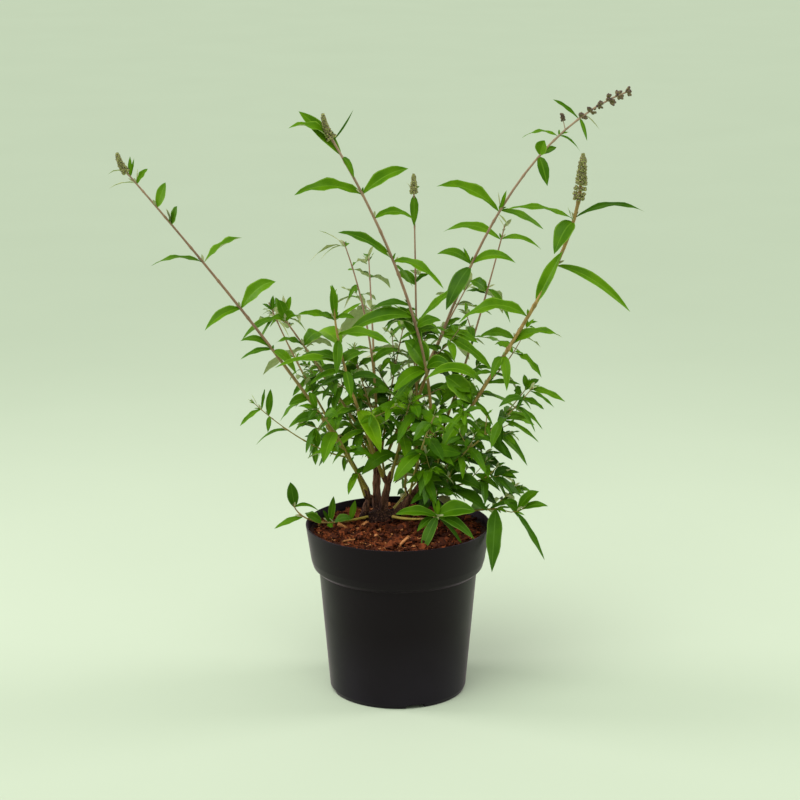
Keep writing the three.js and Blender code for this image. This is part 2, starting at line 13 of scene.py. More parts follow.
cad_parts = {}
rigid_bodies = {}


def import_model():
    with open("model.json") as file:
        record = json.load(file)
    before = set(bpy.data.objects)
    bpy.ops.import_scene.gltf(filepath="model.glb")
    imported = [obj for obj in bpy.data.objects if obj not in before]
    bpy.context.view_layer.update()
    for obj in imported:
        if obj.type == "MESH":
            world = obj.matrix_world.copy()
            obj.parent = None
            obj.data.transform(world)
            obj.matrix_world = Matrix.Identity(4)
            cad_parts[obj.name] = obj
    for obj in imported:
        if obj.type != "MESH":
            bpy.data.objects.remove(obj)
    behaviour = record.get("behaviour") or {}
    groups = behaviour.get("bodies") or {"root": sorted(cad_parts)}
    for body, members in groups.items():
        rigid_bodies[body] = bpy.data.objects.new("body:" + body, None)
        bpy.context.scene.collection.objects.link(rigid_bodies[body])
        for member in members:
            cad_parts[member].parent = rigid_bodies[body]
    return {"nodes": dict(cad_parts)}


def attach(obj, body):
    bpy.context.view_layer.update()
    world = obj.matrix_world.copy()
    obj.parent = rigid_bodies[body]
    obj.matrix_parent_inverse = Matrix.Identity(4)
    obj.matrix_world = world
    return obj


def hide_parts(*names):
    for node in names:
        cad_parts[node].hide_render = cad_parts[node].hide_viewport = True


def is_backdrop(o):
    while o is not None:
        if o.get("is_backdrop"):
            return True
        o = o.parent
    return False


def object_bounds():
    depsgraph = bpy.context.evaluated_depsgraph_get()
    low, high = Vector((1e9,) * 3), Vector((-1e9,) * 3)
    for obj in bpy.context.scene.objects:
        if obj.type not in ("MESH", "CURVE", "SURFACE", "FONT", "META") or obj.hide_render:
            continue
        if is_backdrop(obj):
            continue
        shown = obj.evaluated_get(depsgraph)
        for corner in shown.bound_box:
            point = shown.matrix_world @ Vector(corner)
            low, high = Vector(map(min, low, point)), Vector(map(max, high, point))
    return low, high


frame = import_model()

CAD_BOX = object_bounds()
MM = 0.001
UP = Vector((0, 0, 1))

# ---------------------------------------------------------------- sizes
POT = dict(height=196, rim=105, collar_top=99, collar_foot=93, neck=90, base=78, collar_drop=40,
    collar_depth=53, wall=1.6, floor=2, disc=50, slope=4, channel=4, foot_width=7, sides=160)
NOTCH = dict(count=4, width=21, height=4.5, first_turn=-75)
DRAIN = dict(count=8, radius=5, ring=61)
MULCH = dict(top=190, heap=58, edge=186, wall_gap=0.35, rings=44, sides=150, clod=2.2, clod_size=13,
    crumb=0.9, crumb_size=3.1, lumps_from=184, lumps_within=98)
CROWN = dict(grid=1.0, smoothings=4, ridges=0.9, strips=0.6, knots=0.8, swell=0.35)
# The two kinds of chip: reach from the axis, sides, length, width and depth, all in metres.
CHIPS = dict(Coarse=(0.088, 6, 0.018, 0.007, 0.003), Fine=(0.0945, 4, 0.0105, 0.0018, 0.0015))
CHIPS_TO_A_SQUARE_METRE = dict(Coarse=17000.0, Fine=125000.0)
BROWN_FROM, STRAW_FROM = 0.40, 0.93  # a chip's draw decides its colour
# Where the camera stands, how far down it looks, and its focal length in points of a picture.
CAMERA = dict(place=(0, -2.660, 1.033), down=14.6, focal=2450, picture=800, shift=0.0025)
FLOOR = 120  # metres from the pot to the floor's edge

STEPS = 24  # straight pieces in a shoot's line
CROWDING = 1.3  # how fast the pairs of leaves draw together towards the tip
LIGHT = Vector((0, -0.55, 0.835))  # leaves turn their upper faces to it
BACK_LIGHT = Vector((0, 0.2, 0.98))
BACK_FROM = 62  # leaves that reach further back than this turn to the light behind
REACH = 25  # how far ahead of its root a leaf's place is taken
LIGHT_SHARE = 0.75
REST_RISE = 18  # degrees above level that a grown leaf settles to
TRIES = (0, 28, -28, 56)  # extra roll for a leaf that meets something
STRAY = dict(roll=18, open=12, tilt=22, size=0.18, droop=0.4)  # of a grown leaf, either way
CLOSING = 40  # degrees by which the last pair is less open than the first
TWIG = dict(open=38, rise=0.4, radius=0.9, first=0.5, pairs=1, leaf_share=0.55)
FINE_TWIG = dict(open=48, radius=0.62, longest=42, two_pairs_from=24, leaf_longest=36)
AXIL_LEAF = dict(chance=0.32, open=48, longest=34)
SIDE_SHOOT = dict(lean=62, length=62, leaf=32, pairs=3, first=0.28, radius=1.0)
SEED_HEAD = dict(clusters=6, stalk=4.0, capsule=5.0, spread=2.7, side_below=0.035, side_length=19,
    side_clusters=5, side_capsule=2.9)
BUD_SPIKE = dict(whorl_gap=2.0, wide_gap=2.6, long_from=40, open=66, fat=0.8)
SUNK = 0.5  # a leaf's root lies this far past its stem's axis
LARGE_LEAF = 26  # shorter leaves are leaflets
LEAF_MATCH = 0.4  # a grown leaf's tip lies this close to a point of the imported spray
TWIG_MATCH = 1.0
LEAF_THICKNESS = 0.35
# The rim strip beyond the second share takes a paler copy of the green on the outer leaves: a
# painted highlight along the edge.
RIB_HALF, HIGHLIGHT_RIM_FROM = 0.19, 0.82  # shares of a leaf's half width
WIDEST = 0.486  # share of a leaf's length at which it is widest
NEAR_END = 0.995  # the last share of a line at which a leaf can start
LOOSE_WHORLS = (0.16, 0.3)  # shares of a long bud spike that a gap follows
# Added to the key of a draw, so that no two parts of a shoot share their draws.
KEYS = dict(twig=100, twig_tuft=500, side=700, axil=900, fine_twig=2000, fine_tuft=3000,
    side_pairs=4000, side_tuft=4500, tuft=5000, set_leaf=8000, set_axil=8200)

# The cut-back limbs. A heading of 0 is +X and 90 is +Y; a lean is taken from the vertical.
LIMBS = dict(
    trunk=dict(foot=(-20, 25, 186), heading=20, lean=10, length=52, tip=4.0),
    right=dict(foot=(-12, 22, 186), heading=-10, lean=38, length=64, tip=3.8),
    left=dict(foot=(-44, 20, 186), heading=10, lean=20, length=38, tip=3.2),
    back=dict(foot=(-24, 34, 186), heading=95, lean=5, length=78, tip=3.8),
)

# One entry for each shoot: where it starts, how its lean runs from foot to tip, how much of it is
# a bare cane, and the leaves and spike that it carries. The order gives each shoot its seed.
# pairs, first: how many pairs of leaves, and the share at which they begin. low, fade: size of the
# first pair and loss of the last. tone: how dark its leaves are, 0 to 4; partly their own green and
# partly painted shade, so the low and inner shoots have the dark tones. bushy: the chance of a fine
# twig at each leaf. sides: fine side shoots. tuft: length of the leaves at its tip over leaf.
# spike_shape: width at the foot, the share of it that is lost, and how late. slim, end: what is
# left of the radius along the shoot and at its tip. olive: its bark is green above the cane.
SHOOT_DEFAULTS = dict(radius=1.8, bend=1, cane=0, first=0.3, pairs=4, leaf=50, roll=70, twist=80,
    spike=None, spike_length=0, spike_shape=(5, 0.6, 1.2), twigs=0.1, twig=40, open=75, droop=1.25,
    wide=0.35, low=0.8, fade=0.5, tone=2, bushy=0.1, sides=0, tuft=0.5, slim=1, end=0.4,
    olive=False)
SHOOTS = dict(
    far_left=dict(foot=(-37, 22, 230), radius=2.6, heading=175, lean=(15, 41), bend=0.2,
        length=472, cane=0.22, first=0.26, pairs=7, roll=80, twist=25, spike="bud",
        spike_length=25, spike_shape=(5, 0.5, 1.3), twigs=0.15, twig=25, tone=1.3, slim=0.9),
    left_back=dict(foot=(-36, 29, 230), heading=150, lean=(35, 26), bend=3, length=240, cane=0.36,
        first=0.4, leaf=46, twist=60, tone=1.8, bushy=0.05, tuft=0.2),
    left_inner=dict(foot=(-31, 36, 270), heading=195, lean=(15, 35), bend=0.2, length=187,
        cane=0.26, leaf=46, roll=60, twist=70, tone=1.5, bushy=0.05, tuft=0.18),
    front_left=dict(foot=(-18, 23, 246), radius=2.4, heading=215, lean=(22, -1), bend=3,
        length=234, cane=0.26, leaf=62, roll=20, twigs=0.2, tone=0.5, bushy=0.05, sides=1,
        tuft=0.2, olive=True),
    back_wisp=dict(foot=(-25, 43, 276), radius=1.7, heading=125, lean=(-4, 36), length=240,
        cane=0.41, first=0.45, pairs=3, roll=10, twist=70, twigs=0, droop=1.6, wide=0.18, sides=1,
        tuft=0.2),
    centre=dict(foot=(27, 12, 252), radius=2.4, heading=175, lean=(-66, 32), bend=0.2, length=431,
        cane=0.24, first=0.28, pairs=6, leaf=62, roll=80, twist=25, spike="bud", spike_length=30,
        spike_shape=(6.6, 0.6, 0.6), twigs=0.15, tone=1.2, sides=2, slim=0.8, end=0.7),
    middle_thin=dict(foot=(21, 24, 250), radius=1.7, heading=95, lean=(-33, 15), bend=0.2,
        length=340, cane=0.46, first=0.5, pairs=3, leaf=45, roll=0, twist=90, spike="bud",
        spike_length=24, tone=1.6, sides=2),
    right_tall=dict(foot=(-7, 29, 248), radius=3, heading=15, lean=(20, 73), bend=3, length=526,
        cane=0.28, first=0.32, pairs=5, leaf=66, roll=80, twist=25, spike="seed", spike_length=68,
        twigs=0.15, tone=1.2, sides=2, slim=0.7, end=0.5),
    right_back=dict(foot=(31, 24, 249), heading=45, lean=(50, 21), bend=0.2, length=300, cane=0.31,
        first=0.35, leaf=62, roll=60, twist=60, twigs=0.2, tone=1.6, sides=2, tuft=0.1),
    right_bud=dict(foot=(33, 14, 247), radius=2.7, heading=-10, lean=(31, -10), bend=5, length=413,
        cane=0.24, first=0.28, pairs=5, leaf=74, roll=80, twist=25, spike="bud", spike_length=50,
        spike_shape=(6.9, 0.44, 2), twigs=0.2, tone=1.0, sides=3, slim=0.82, end=0.85, olive=True),
    low_right=dict(foot=(36, 8, 243), radius=1.3, heading=-20, lean=(48, 36), bend=3, length=170,
        cane=0.26, leaf=38, roll=0, twist=90, twigs=0.4, twig=30, bushy=0.35, sides=2),
    low_left=dict(parent="far_left", share=0.09, stand=4.1, radius=1, heading=190, lean=(85, 45),
        bend=0.4, length=126, first=0.2, pairs=5, leaf=32, roll=80, twist=60, twigs=0, bushy=0,
        tuft=0.3),
    creeper=dict(foot=(-37, 14, 198), radius=1.6, heading=195, lean=(97, 16), bend=2.5, length=96,
        cane=0.26, pairs=3, leaf=32, roll=60, twist=60, twigs=0, droop=0.5, tone=2.4, tuft=0.25,
        olive=True),
    front_rosette=dict(foot=(-4, 9, 200), heading=-48, lean=(85, 68), length=74, cane=0.6,
        first=0.85, pairs=2, leaf=54, roll=0, twist=60, twigs=0, open=85, droop=1.3, low=1,
        fade=0.3, tone=1.8, tuft=0.2, olive=True),
    rim_right=dict(foot=(7, 16, 201), heading=-14, lean=(84, 80), length=112, cane=0.5, first=0.7,
        pairs=3, leaf=64, roll=0, twist=60, twigs=0, open=80, droop=1.8, low=1, tone=1.8,
        tuft=0.25),
    rim_right_end=dict(parent="rim_right", share=0.9, stand=5.1, radius=0.9, heading=40,
        lean=(70, 60), length=35, first=0.4, pairs=2, leaf=38, roll=0, twist=50, twigs=0,
        droop=1.4, tone=2.4),
    stub_shoot=dict(foot=(27, 5, 240), radius=1.6, heading=-30, lean=(50, 10), length=50,
        first=0.4, pairs=2, leaf=52, roll=0, twist=60, twigs=0, low=1, tone=2.8, bushy=0.3),
    short_right=dict(foot=(36, 17, 237), radius=1.3, heading=5, lean=(70, 20), length=60,
        first=0.4, pairs=2, leaf=40, roll=0, twigs=0, tone=3, bushy=0.4),
    upper_right=dict(foot=(39, 20, 244), radius=1.3, heading=4, lean=(56, 36), length=150,
        first=0.35, leaf=40, roll=20, twig=30, bushy=0.35, sides=1),
    right_skirt=dict(foot=(34, 5, 233), radius=1.3, heading=-10, lean=(78, 72), length=88, leaf=40,
        roll=10, twig=30, tone=2.8, bushy=0.45),
    front_fan=dict(foot=(10, 9, 206), radius=1.5, heading=-18, lean=(72, 15), length=82, first=0.4,
        pairs=3, roll=10, twigs=0, low=1, tone=3, bushy=0.4),
    heart_front=dict(foot=(-7, 22, 244), radius=1.5, heading=-60, lean=(20, 25), length=105,
        pairs=3, leaf=52, roll=20, tone=1.7, bushy=0.2, sides=1),
    heart_left=dict(foot=(-16, 31, 248), radius=1.5, heading=165, lean=(8, 22), length=130,
        first=0.2, leaf=46, tone=1.7, sides=1),
    heart_back=dict(foot=(-18, 45, 272), radius=1.5, heading=60, lean=(15, 25), length=140,
        first=0.2, tone=1.7, bushy=0.12, sides=1),
    heart_right=dict(foot=(8, 26, 232), radius=1.5, heading=80, lean=(25, 28), length=165,
        first=0.2, leaf=52, tone=1.7, bushy=0.2, sides=2),
    low_front_left=dict(foot=(-39, 15, 226), radius=1.4, heading=-125, lean=(25, 48), length=150,
        first=0.2, leaf=44),
    low_front_right=dict(foot=(14, 9, 230), radius=1.5, heading=-75, lean=(32, 50), length=155,
        first=0.2, leaf=46, bushy=0.2, sides=1),
    back_middle=dict(foot=(-23, 48, 258), heading=95, lean=(25, 40), length=250, cane=0.26,
        leaf=55, bushy=0.2, sides=3, tuft=0.25),
    back_right=dict(foot=(-14, 46, 260), heading=50, lean=(35, 45), length=230, cane=0.26, leaf=52,
        bushy=0.3, sides=3),
    back_left=dict(foot=(-33, 45, 260), heading=140, lean=(35, 50), length=210, cane=0.26,
        bushy=0.3, sides=3),
    low_back=dict(foot=(-5, 42, 200), radius=1.4, heading=50, lean=(60, 65), length=120, first=0.2,
        leaf=40, tone=3, bushy=0.3, sides=1),
)

# The outer leaves that stand clear. First the share of the shoot from which they take the place of
# the grown pairs, then for each leaf: share, tip x y z, droop, width over length, tone and, if it
# isn't 0, its tilt.
# A set leaf's tone is partly its own green and partly painted shade where it hangs in shadow.
SET_LEAVES = dict(
    far_left=(0.36, (0.22, -124, 13, 303, 1, 0.29, 1.5), (0.255, -90, 33, 343, 0.4, 0.45, 2.2),
        (0.258, -124, 18, 330, 0.9, 0.52, 1.5), (0.404, -114, 13, 365, 1.6, 0.46, 1.3),
        (0.409, -178, 19, 383, 0.8, 0.24, 1.8), (0.413, -178, 27, 402, 1.1, 0.2, 2.4, 10),
        (0.531, -136, 19, 472, 0.8, 0.26, 1.2), (0.531, -216, 9, 417, 1.1, 0.34, 1),
        (0.671, -277, 28, 488, 1, 0.17, 1.8, 25), (0.671, -175, 50, 516, 0.7, 0.26, 1.3, -35),
        (0.789, -259, 37, 552, 0.2, 0.34, "felt", 60), (0.791, -245, 29, 555, 0.2, 0.5, 1.3),
        (0.843, -258, 32, 582, 0.1, 0.42, 1.3), (0.915, -278, 39, 596, 0.6, 0.26, 1.5),
        (0.917, -290, 48, 595, 0.3, 0.2, "felt", 80),
        (0.917, -322, 34, 574, 0.9, 0.13, "felt", 60), (0.937, -294, 49, 606, 0.1, 0.12, 1.5),
        (0.938, -324, 47, 588, 1.3, 0.12, "felt", 60), (0.938, -299, 45, 609, 0, 0.2, 1)),
    left_back=(0.62, (0.918, -179, 69, 393, 1.1, 0.33, 2.2, 10),
        (0.92, -121, 77, 386, 1.5, 0.2, "felt", 100), (0.955, -156, 85, 432, 0.7, 0.2, 2),
        (0.955, -157, 87, 418, 1.2, 0.12, "felt", 60),
        (0.955, -136, 85, 428, 0.8, 0.2, "felt", 40), (0.958, -138, 88, 433, 0.4, 0.28, 2.4),
        (0.958, -144, 92, 441, 0.2, 0.3, 2)),
    left_inner=(0.7, (0.803, -137, 6, 404, 1.1, 0.24, 2.5, 15),
        (0.804, -82, 6, 412, 1.3, 0.34, 1.8), (1, -132, 5, 455, 0.6, 0.32, 1.3),
        (1, -110, 3, 429, 1.8, 0.34, 2), (1, -142, -1, 434, 1, 0.3, 2),
        (1, -120, 11, 457, 0.8, 0.14, 1), (1, -130, 15, 458, 0.4, 0.14, "felt")),
    front_left=(0.34, (0.256, -78, -8, 276, 1.3, 0.24, 0.6),
        (0.372, -19, -35, 288, 1.2, 0.46, 0.1), (0.372, -90, -5, 306, 1.1, 0.22, 3, 10),
        (0.377, -81, -20, 320, 0.9, 0.18, 1.6, 10), (0.54, -16, -11, 365, 1.1, 0.26, 3),
        (0.559, -95, -16, 352, 1.1, 0.22, 2.2, 10), (0.573, -45, -12, 343, 1.5, 0.42, 2.8),
        (0.581, -99, -19, 362, 1, 0.27, 2, 10), (0.593, -52, -23, 347, 1.5, 0.52, 0.7),
        (0.626, -137, -27, 384, 0.8, 0.15, 0.8, 10), (0.636, -114, -1, 389, 1, 0.28, 2.8, 10),
        (0.639, -41, -13, 399, 0.9, 0.38, 2.4), (0.753, -67, -33, 377, 1.6, 0.46, 1.8),
        (0.777, -6, -21, 410, 0.9, 0.24, 0.9), (0.849, -88, -27, 444, 0.8, 0.24, 1.6),
        (0.852, -40, -7, 454, 0.2, 0.13, 0.6), (0.854, -111, -25, 443, 0.7, 0.18, 1.4),
        (0.861, -47, -23, 439, 0.8, 0.28, 1.8), (0.863, -72, -19, 477, 0.15, 0.23, 0.8),
        (0.873, -66, -11, 465, 0.1, 0.16, 0.8)),
    back_wisp=(0.6, (0.404, -2, 41, 390, 0.8, 0.22, 1.8, 20),
        (0.772, -62, 75, 427, 1.8, 0.2, "felt", 120), (0.779, -57, 67, 440, 1.5, 0.45, 2),
        (0.973, -104, 85, 478, 1.6, 0.09, "felt", 80), (0.973, -55, 89, 502, 0.8, 0.3, 1.5),
        (0.978, -91, 80, 482, 1.4, 0.1, "felt", 80), (0.984, -91, 98, 515, 0.5, 0.06, "felt", 60)),
    centre=(0.34, (0.007, 57, -2, 245, 1, 0.35, 3.2), (0.172, -22, -5, 312, 0.8, 0.12, "felt", 60),
        (0.278, -13, -2, 326, 1.2, 0.32, 1.8), (0.288, 6, 4, 407, 0.7, 0.55, 2.6),
        (0.288, 61, -6, 378, 1.3, 0.38, 2), (0.348, 0, 20, 443, 0.5, 0.3, 2.4),
        (0.373, 9, 6, 387, 1.2, 0.35, 3.2), (0.387, 1, 4, 407, 1, 0.25, 2.4),
        (0.391, 59, 19, 413, 1, 0.2, 2), (0.397, -16, -1, 422, 1.4, 0.2, 2, 40),
        (0.399, 49, 3, 430, 1, 0.34, 2, 10), (0.427, -57, -1, 419, 1, 0.26, 1.8),
        (0.458, -29, 9, 444, 1, 0.2, 3.2), (0.573, 17, 21, 465, 1.2, 0.26, 1.8),
        (0.583, 51, -7, 469, 1.3, 0.22, 1), (0.588, -68, 7, 528, 0.7, 0.18, 1.6, 10),
        (0.704, 18, 5, 544, 1.2, 0.2, 1.2, 10), (0.772, -115, 4, 571, 0.95, 0.2, 1),
        (0.773, 11, 10, 602, 0.6, 0.25, 1.6), (0.883, -47, 8, 590, 1.8, 0.42, 1.3),
        (0.885, -107, 30, 663, 0.3, 0.22, 1), (0.928, -120, 13, 646, 1, 0.22, 1.3, 20),
        (0.93, -48, 23, 663, -0.5, 0.07, 2.6, 40)),
    middle_thin=(0.5, (0.552, 4, 26, 433, 1.2, 0.3, 2), (0.634, 0, 32, 481, 0.6, 0.4, 2),
        (0.641, 37, 32, 477, 1.2, 0.2, 2, 70), (0.931, 19, 49, 528, 1.1, 0.42, 1.7),
        (0.944, 9, 65, 576, 0.2, 0.14, "felt", 40), (0.948, 25, 63, 572, 0.6, 0.3, 2)),
    right_tall=(0.42, (0.279, 72, 18, 354, 1.3, 0.3, 1.2), (0.319, 106, 22, 367, 0.9, 0.24, 1.2),
        (0.32, 1, 34, 400, 1.1, 0.17, 1, 10), (0.33, 82, 51, 412, 0.9, 0.12, 2.6),
        (0.335, 73, 53, 422, 0.6, 0.3, 1.8), (0.428, 20, 34, 419, 0.9, 0.22, 0.9),
        (0.477, 55, 23, 437, 1.3, 0.46, 2.6), (0.48, 74, 55, 504, 0.2, 0.16, 1.4),
        (0.483, 44, 45, 499, 1.05, 0.22, 1.6), (0.484, 132, 39, 490, 1.15, 0.22, 1),
        (0.605, 125, 55, 527, 1, 0.3, "felt", 110), (0.61, 44, 51, 576, 0.85, 0.18, 1),
        (0.614, 166, 74, 519, 0.95, 0.22, 1.6), (0.615, 121, 57, 569, 0, 0.2, 1),
        (0.615, 112, 64, 566, 0.1, 0.12, "felt", 50), (0.756, 167, 59, 572, 1.3, 0.56, 1.8),
        (0.759, 164, 64, 624, 0.5, 0.6, 1.2), (0.761, 178, 76, 615, 0.5, 0.38, 1.6, 20),
        (0.815, 138, 71, 625, 1.15, 0.14, 1.2, 10), (0.818, 205, 73, 610, 1.5, 0.14, 1.2, 30),
        (0.873, 173, 87, 666, 0.5, 0.12, 1.6), (0.876, 212, 76, 620, 1.1, 0.28, 1.2),
        (0.889, 228, 87, 632, 0.8, 0.07, "felt", 60)),
    right_back=(0.62, (0.234, 26, 36, 298, 1, 0.3, 3.2), (0.328, 27, 49, 333, 1, 0.38, 3),
        (0.335, 98, 46, 313, 1.2, 0.42, 2), (0.724, 78, 96, 445, 0.9, 0.2, 2.4),
        (0.733, 82, 87, 458, 0.9, 0.5, 2.2), (0.743, 130, 80, 411, 1.9, 0.26, 1.5),
        (0.939, 51, 103, 512, 1.1, 0.17, 1.2), (0.941, 165, 104, 492, 1.15, 0.2, 1.3),
        (0.99, 131, 111, 526, 0.4, 0.3, "felt", 60), (0.99, 114, 115, 529, 0.2, 0.25, "felt", 60)),
    right_bud=(0.38, (0.095, 24, -4, 266, 1.1, 0.38, 2.2), (0.111, 83, -6, 265, 1.2, 0.28, 2.4),
        (0.193, 50, -23, 287, 1.1, 0.5, 0.6), (0.196, 98, -5, 294, 1.3, 0.26, 2.4),
        (0.246, 53, -9, 329, 1.1, 0.26, 2.2), (0.248, 51, -13, 369, 0.6, 0.4, 0.9),
        (0.254, 107, -9, 312, 1.3, 0.25, 2), (0.307, 29, -15, 366, 1.3, 0.16, 0.8, 10),
        (0.315, 138, -4, 358, 0.7, 0.14, 1.6, 30), (0.349, 123, 7, 364, 0.9, 0.2, 2.4, 60),
        (0.351, 83, -7, 370, 0.9, 0.24, 1.8), (0.404, 103, -21, 369, 1.8, 0.5, 1.8),
        (0.408, 122, -27, 357, 1.7, 0.4, 0.8), (0.438, 182, -10, 416, 1.1, 0.17, 1),
        (0.463, 89, -13, 414, 1.05, 0.28, 2.2), (0.534, 67, -22, 436, 1.3, 0.18, 1),
        (0.579, 181, -19, 514, 0.15, 0.25, 0.7), (0.696, 256, -25, 444, 1, 0.19, 0.9),
        (0.821, 185, -12, 563, 0.3, 0.12, 1.5, 60), (0.823, 170, -40, 514, 1.7, 0.68, 1.2),
        (0.83, 118, -26, 561, 0.75, 0.12, 1, 20), (0.834, 270, -22, 558, 1, 0.08, 2.8, 20)),
    low_right=(0.75, (0.665, 114, -26, 292, 1.6, 0.5, 3.2), (0.681, 103, -41, 295, 1.2, 0.45, 2),
        (0.687, 158, -29, 298, 0.8, 0.15, 1.8), (0.697, 143, -30, 326, 0.9, 0.3, 2, 20),
        (0.821, 161, -35, 314, 1.2, 0.18, 2), (0.826, 153, -43, 314, 1.4, 0.24, 2.4),
        (0.898, 111, -43, 343, 1.2, 0.34, 3), (0.903, 130, -40, 337, 1.2, 0.34, 3.2),
        (0.969, 173, -40, 341, 1, 0.16, 2)),
    low_left=(0.15, (0, -61, 13, 252, 1, 0.42, 2.6), (0.26, -94, 12, 304, 0.2, 0.4, 2),
        (0.285, -93, 5, 262, 0.9, 0.5, 1.7), (0.575, -161, 6, 287, 1.4, 0.17, 2.4, 10),
        (0.795, -146, -4, 303, 0.9, 0.4, 2), (0.803, -144, 2, 353, 0.1, 0.23, 1.8),
        (0.889, -150, 7, 352, 0.3, 0.12, 2, 20), (0.897, -178, -3, 310, 0.8, 0.26, 1.5),
        (0.928, -165, 6, 346, 0.1, 0.18, "felt", 60)),
    creeper=(0.12, (0.187, -48, 13, 219, 0.1, 0.3, 2.7), (0.386, -51, 0, 200, 1.1, 0.32, 2.7),
        (0.426, -77, -9, 184, 0.6, 0.7, 2.3), (0.434, -73, 7, 226, 0.1, 0.24, 2.1),
        (0.435, -76, -9, 186, 0.9, 0.4, 2.5), (0.447, -85, 0, 212, 0.1, 0.26, 3.3),
        (0.534, -104, -9, 208, 0.5, 0.5, 1.9), (0.781, -140, -17, 193, 0.6, 0.26, 1.6),
        (0.939, -121, -11, 248, 0.05, 0.4, 2.3), (0.943, -88, -17, 215, 1.3, 0.14, 2.5, 40)),
    front_rosette=(0, (0.916, 21, -54, 202, 1, 0.46, 3.1), (0.998, -3, -52, 224, 0.7, 0.25, 2.5),
        (1, 26, -72, 179, 0.9, 0.33, 2.6), (1, 46, -44, 238, 0, 0.25, 1.5),
        (1, 38, -40, 235, 0.1, 0.16, 1.7), (1, 86, -54, 228, 0.8, 0.42, 2.1),
        (1, 75, -58, 181, 1.5, 0.14, 2.7, 45), (1, 85, -62, 196, 1.1, 0.3, 3.1)),
    rim_right=(0.5, (0.844, 78, -7, 239, 0.5, 0.25, 3.3), (0.895, 136, -14, 224, 0.6, 0.2, 2.9),
        (0.965, 105, -50, 153, 0.9, 0.36, 3, -20)),
    upper_right=(1.1, (0.994, 142, 29, 363, 0.2, 0.4, 2.4), (0.997, 190, 21, 332, 0.7, 0.2, 1.8)),
    front_fan=(0.7, (0.785, 7, -28, 248, 1.1, 0.32, 2.5), (0.804, 102, -24, 238, 1.1, 0.34, 2.6),
        (0.851, 24, -14, 265, 0.8, 0.3, 2.8), (0.863, 77, -11, 265, 0.6, 0.3, 3),
        (0.864, 48, -5, 285, 0.3, 0.16, 2.2, 90), (0.871, 62, -9, 282, 0, 0.24, 2.6)),
    heart_front=(1.1, (0.784, 32, -15, 303, 1.1, 0.42, 3)),
    heart_back=(1.1, (0.729, -8, 63, 347, 1, 0.42, "felt", 40), (0.819, -29, 69, 366, 1, 0.32, 2),
        (0.828, -57, 64, 359, 0.8, 0.1, "felt", 50)),
    low_front_right=(1.1, (0.165, 62, -19, 242, 0.9, 0.42, 3.2)),
    rim_tip=((0.643, 166, -26, 159, 0.7, 0.15, 2.3), (0.678, 161, -16, 237, 0.9, 0.24, 2),
        (0.678, 119, -16, 227, 0.9, 0.4, 2.9), (0.846, 152, -13, 222, 0.3, 0.25, "felt", 60),
        (0.846, 146, -11, 223, 0.2, 0.2, "felt", 60), (0.916, 170, -22, 221, 0.9, 0.28, 2.5, 10)),
)
# Fine twigs that bear set leaves: the shoot they grow on, the share along it, and their points.
SET_TWIGS = dict(
    rim_tip=("rim_right", 0.9, (118, -10, 214), (128, -11, 212), (137, -13, 214), (143, -14, 218)),
)

# The upper side of a leaf, from 0 to 4: its pale and its full green. The darker tones are partly
# a deeper leaf green and partly painted shade, given to leaves low and deep in the bush.
TONES = dict(
    fresh=((103, 147, 3), (84, 130, 1)),
    bright=((88, 134, 3), (70, 116, 1)),
    mid=((76, 120, 3), (57, 101, 1)),
    deep=((62, 104, 6), (47, 87, 3)),
    dark=((50, 86, 10), (37, 70, 5)),
)
# Finishes of two colours: the colours, lumps to the metre, roughness, depth of the bump in metres,
# then the specular level and the stretch where they aren't plain.
GRAINS = dict(
    olive_skin=((106, 90, 40), (178, 150, 86), 300, 0.7, 0.0004, 0.3, (1, 1, 0.15)),
    calyx_green=((104, 112, 50), (188, 194, 120), 420, 0.8, 0.0003),
    bud_purple=((48, 36, 40), (120, 110, 80), 330, 0.7, 0.0003),
    capsule_brown=((58, 44, 42), (110, 92, 78), 500, 0.75, 0.0004),
    capsule_husk=((84, 80, 46), (136, 124, 84), 500, 0.8, 0.0004),
    cut_wood=((176, 112, 62), (222, 168, 112), 380, 0.85, 0.0004),
    cut_pith=((112, 62, 34), (150, 92, 54), 500, 0.9, 0.0004),
    cut_rim=((74, 46, 32), (112, 74, 50), 400, 0.9, 0.0004),
    mulch_dark=((22, 11, 7), (62, 28, 14), 210, 0.95, 0.0012),
    chip_rust=((66, 28, 13), (132, 70, 36), 240, 0.95, 0.0006, 0.1),
    chip_brown=((34, 16, 10), (82, 40, 20), 240, 0.95, 0.0006, 0.1),
    chip_straw=((140, 88, 46), (196, 140, 88), 300, 0.9, 0.0005, 0.1),
)


# ---------------------------------------------------------------- sums on sockets
class Term:
    """A node's output, so that sums on sockets read as Python."""

    def __init__(self, sheet, socket):
        self.sheet = sheet
        self.socket = socket

    def out(self, name):
        """Another output of the same node."""
        return Term(self.sheet, open_socket(self.socket.node.outputs, name))

    def by(self, operation, *others):
        return self.sheet.work_out(operation, self, *others)

    def part(self, axis):
        return self.sheet.node("ShaderNodeSeparateXYZ", None, {0: self}, axis)

    def __rsub__(self, other):
        return self.sheet.work_out("SUBTRACT", other, self)


for sign, operation in dict(add="ADD", radd="ADD", sub="SUBTRACT", mul="MULTIPLY", rmul="MULTIPLY",
                            truediv="DIVIDE", pow="POWER").items():
    setattr(Term, f"__{sign}__", lambda one, two, operation=operation: one.by(operation, two))


def open_socket(sockets, key):
    """The socket in use with a name, or the one at a number."""
    if isinstance(key, int):
        return sockets[key]
    return next(each for each in sockets if each.name == key and each.enabled)


def is_vector(part):
    if isinstance(part, Term):
        return part.socket.type == "VECTOR"
    return isinstance(part, (tuple, Vector))


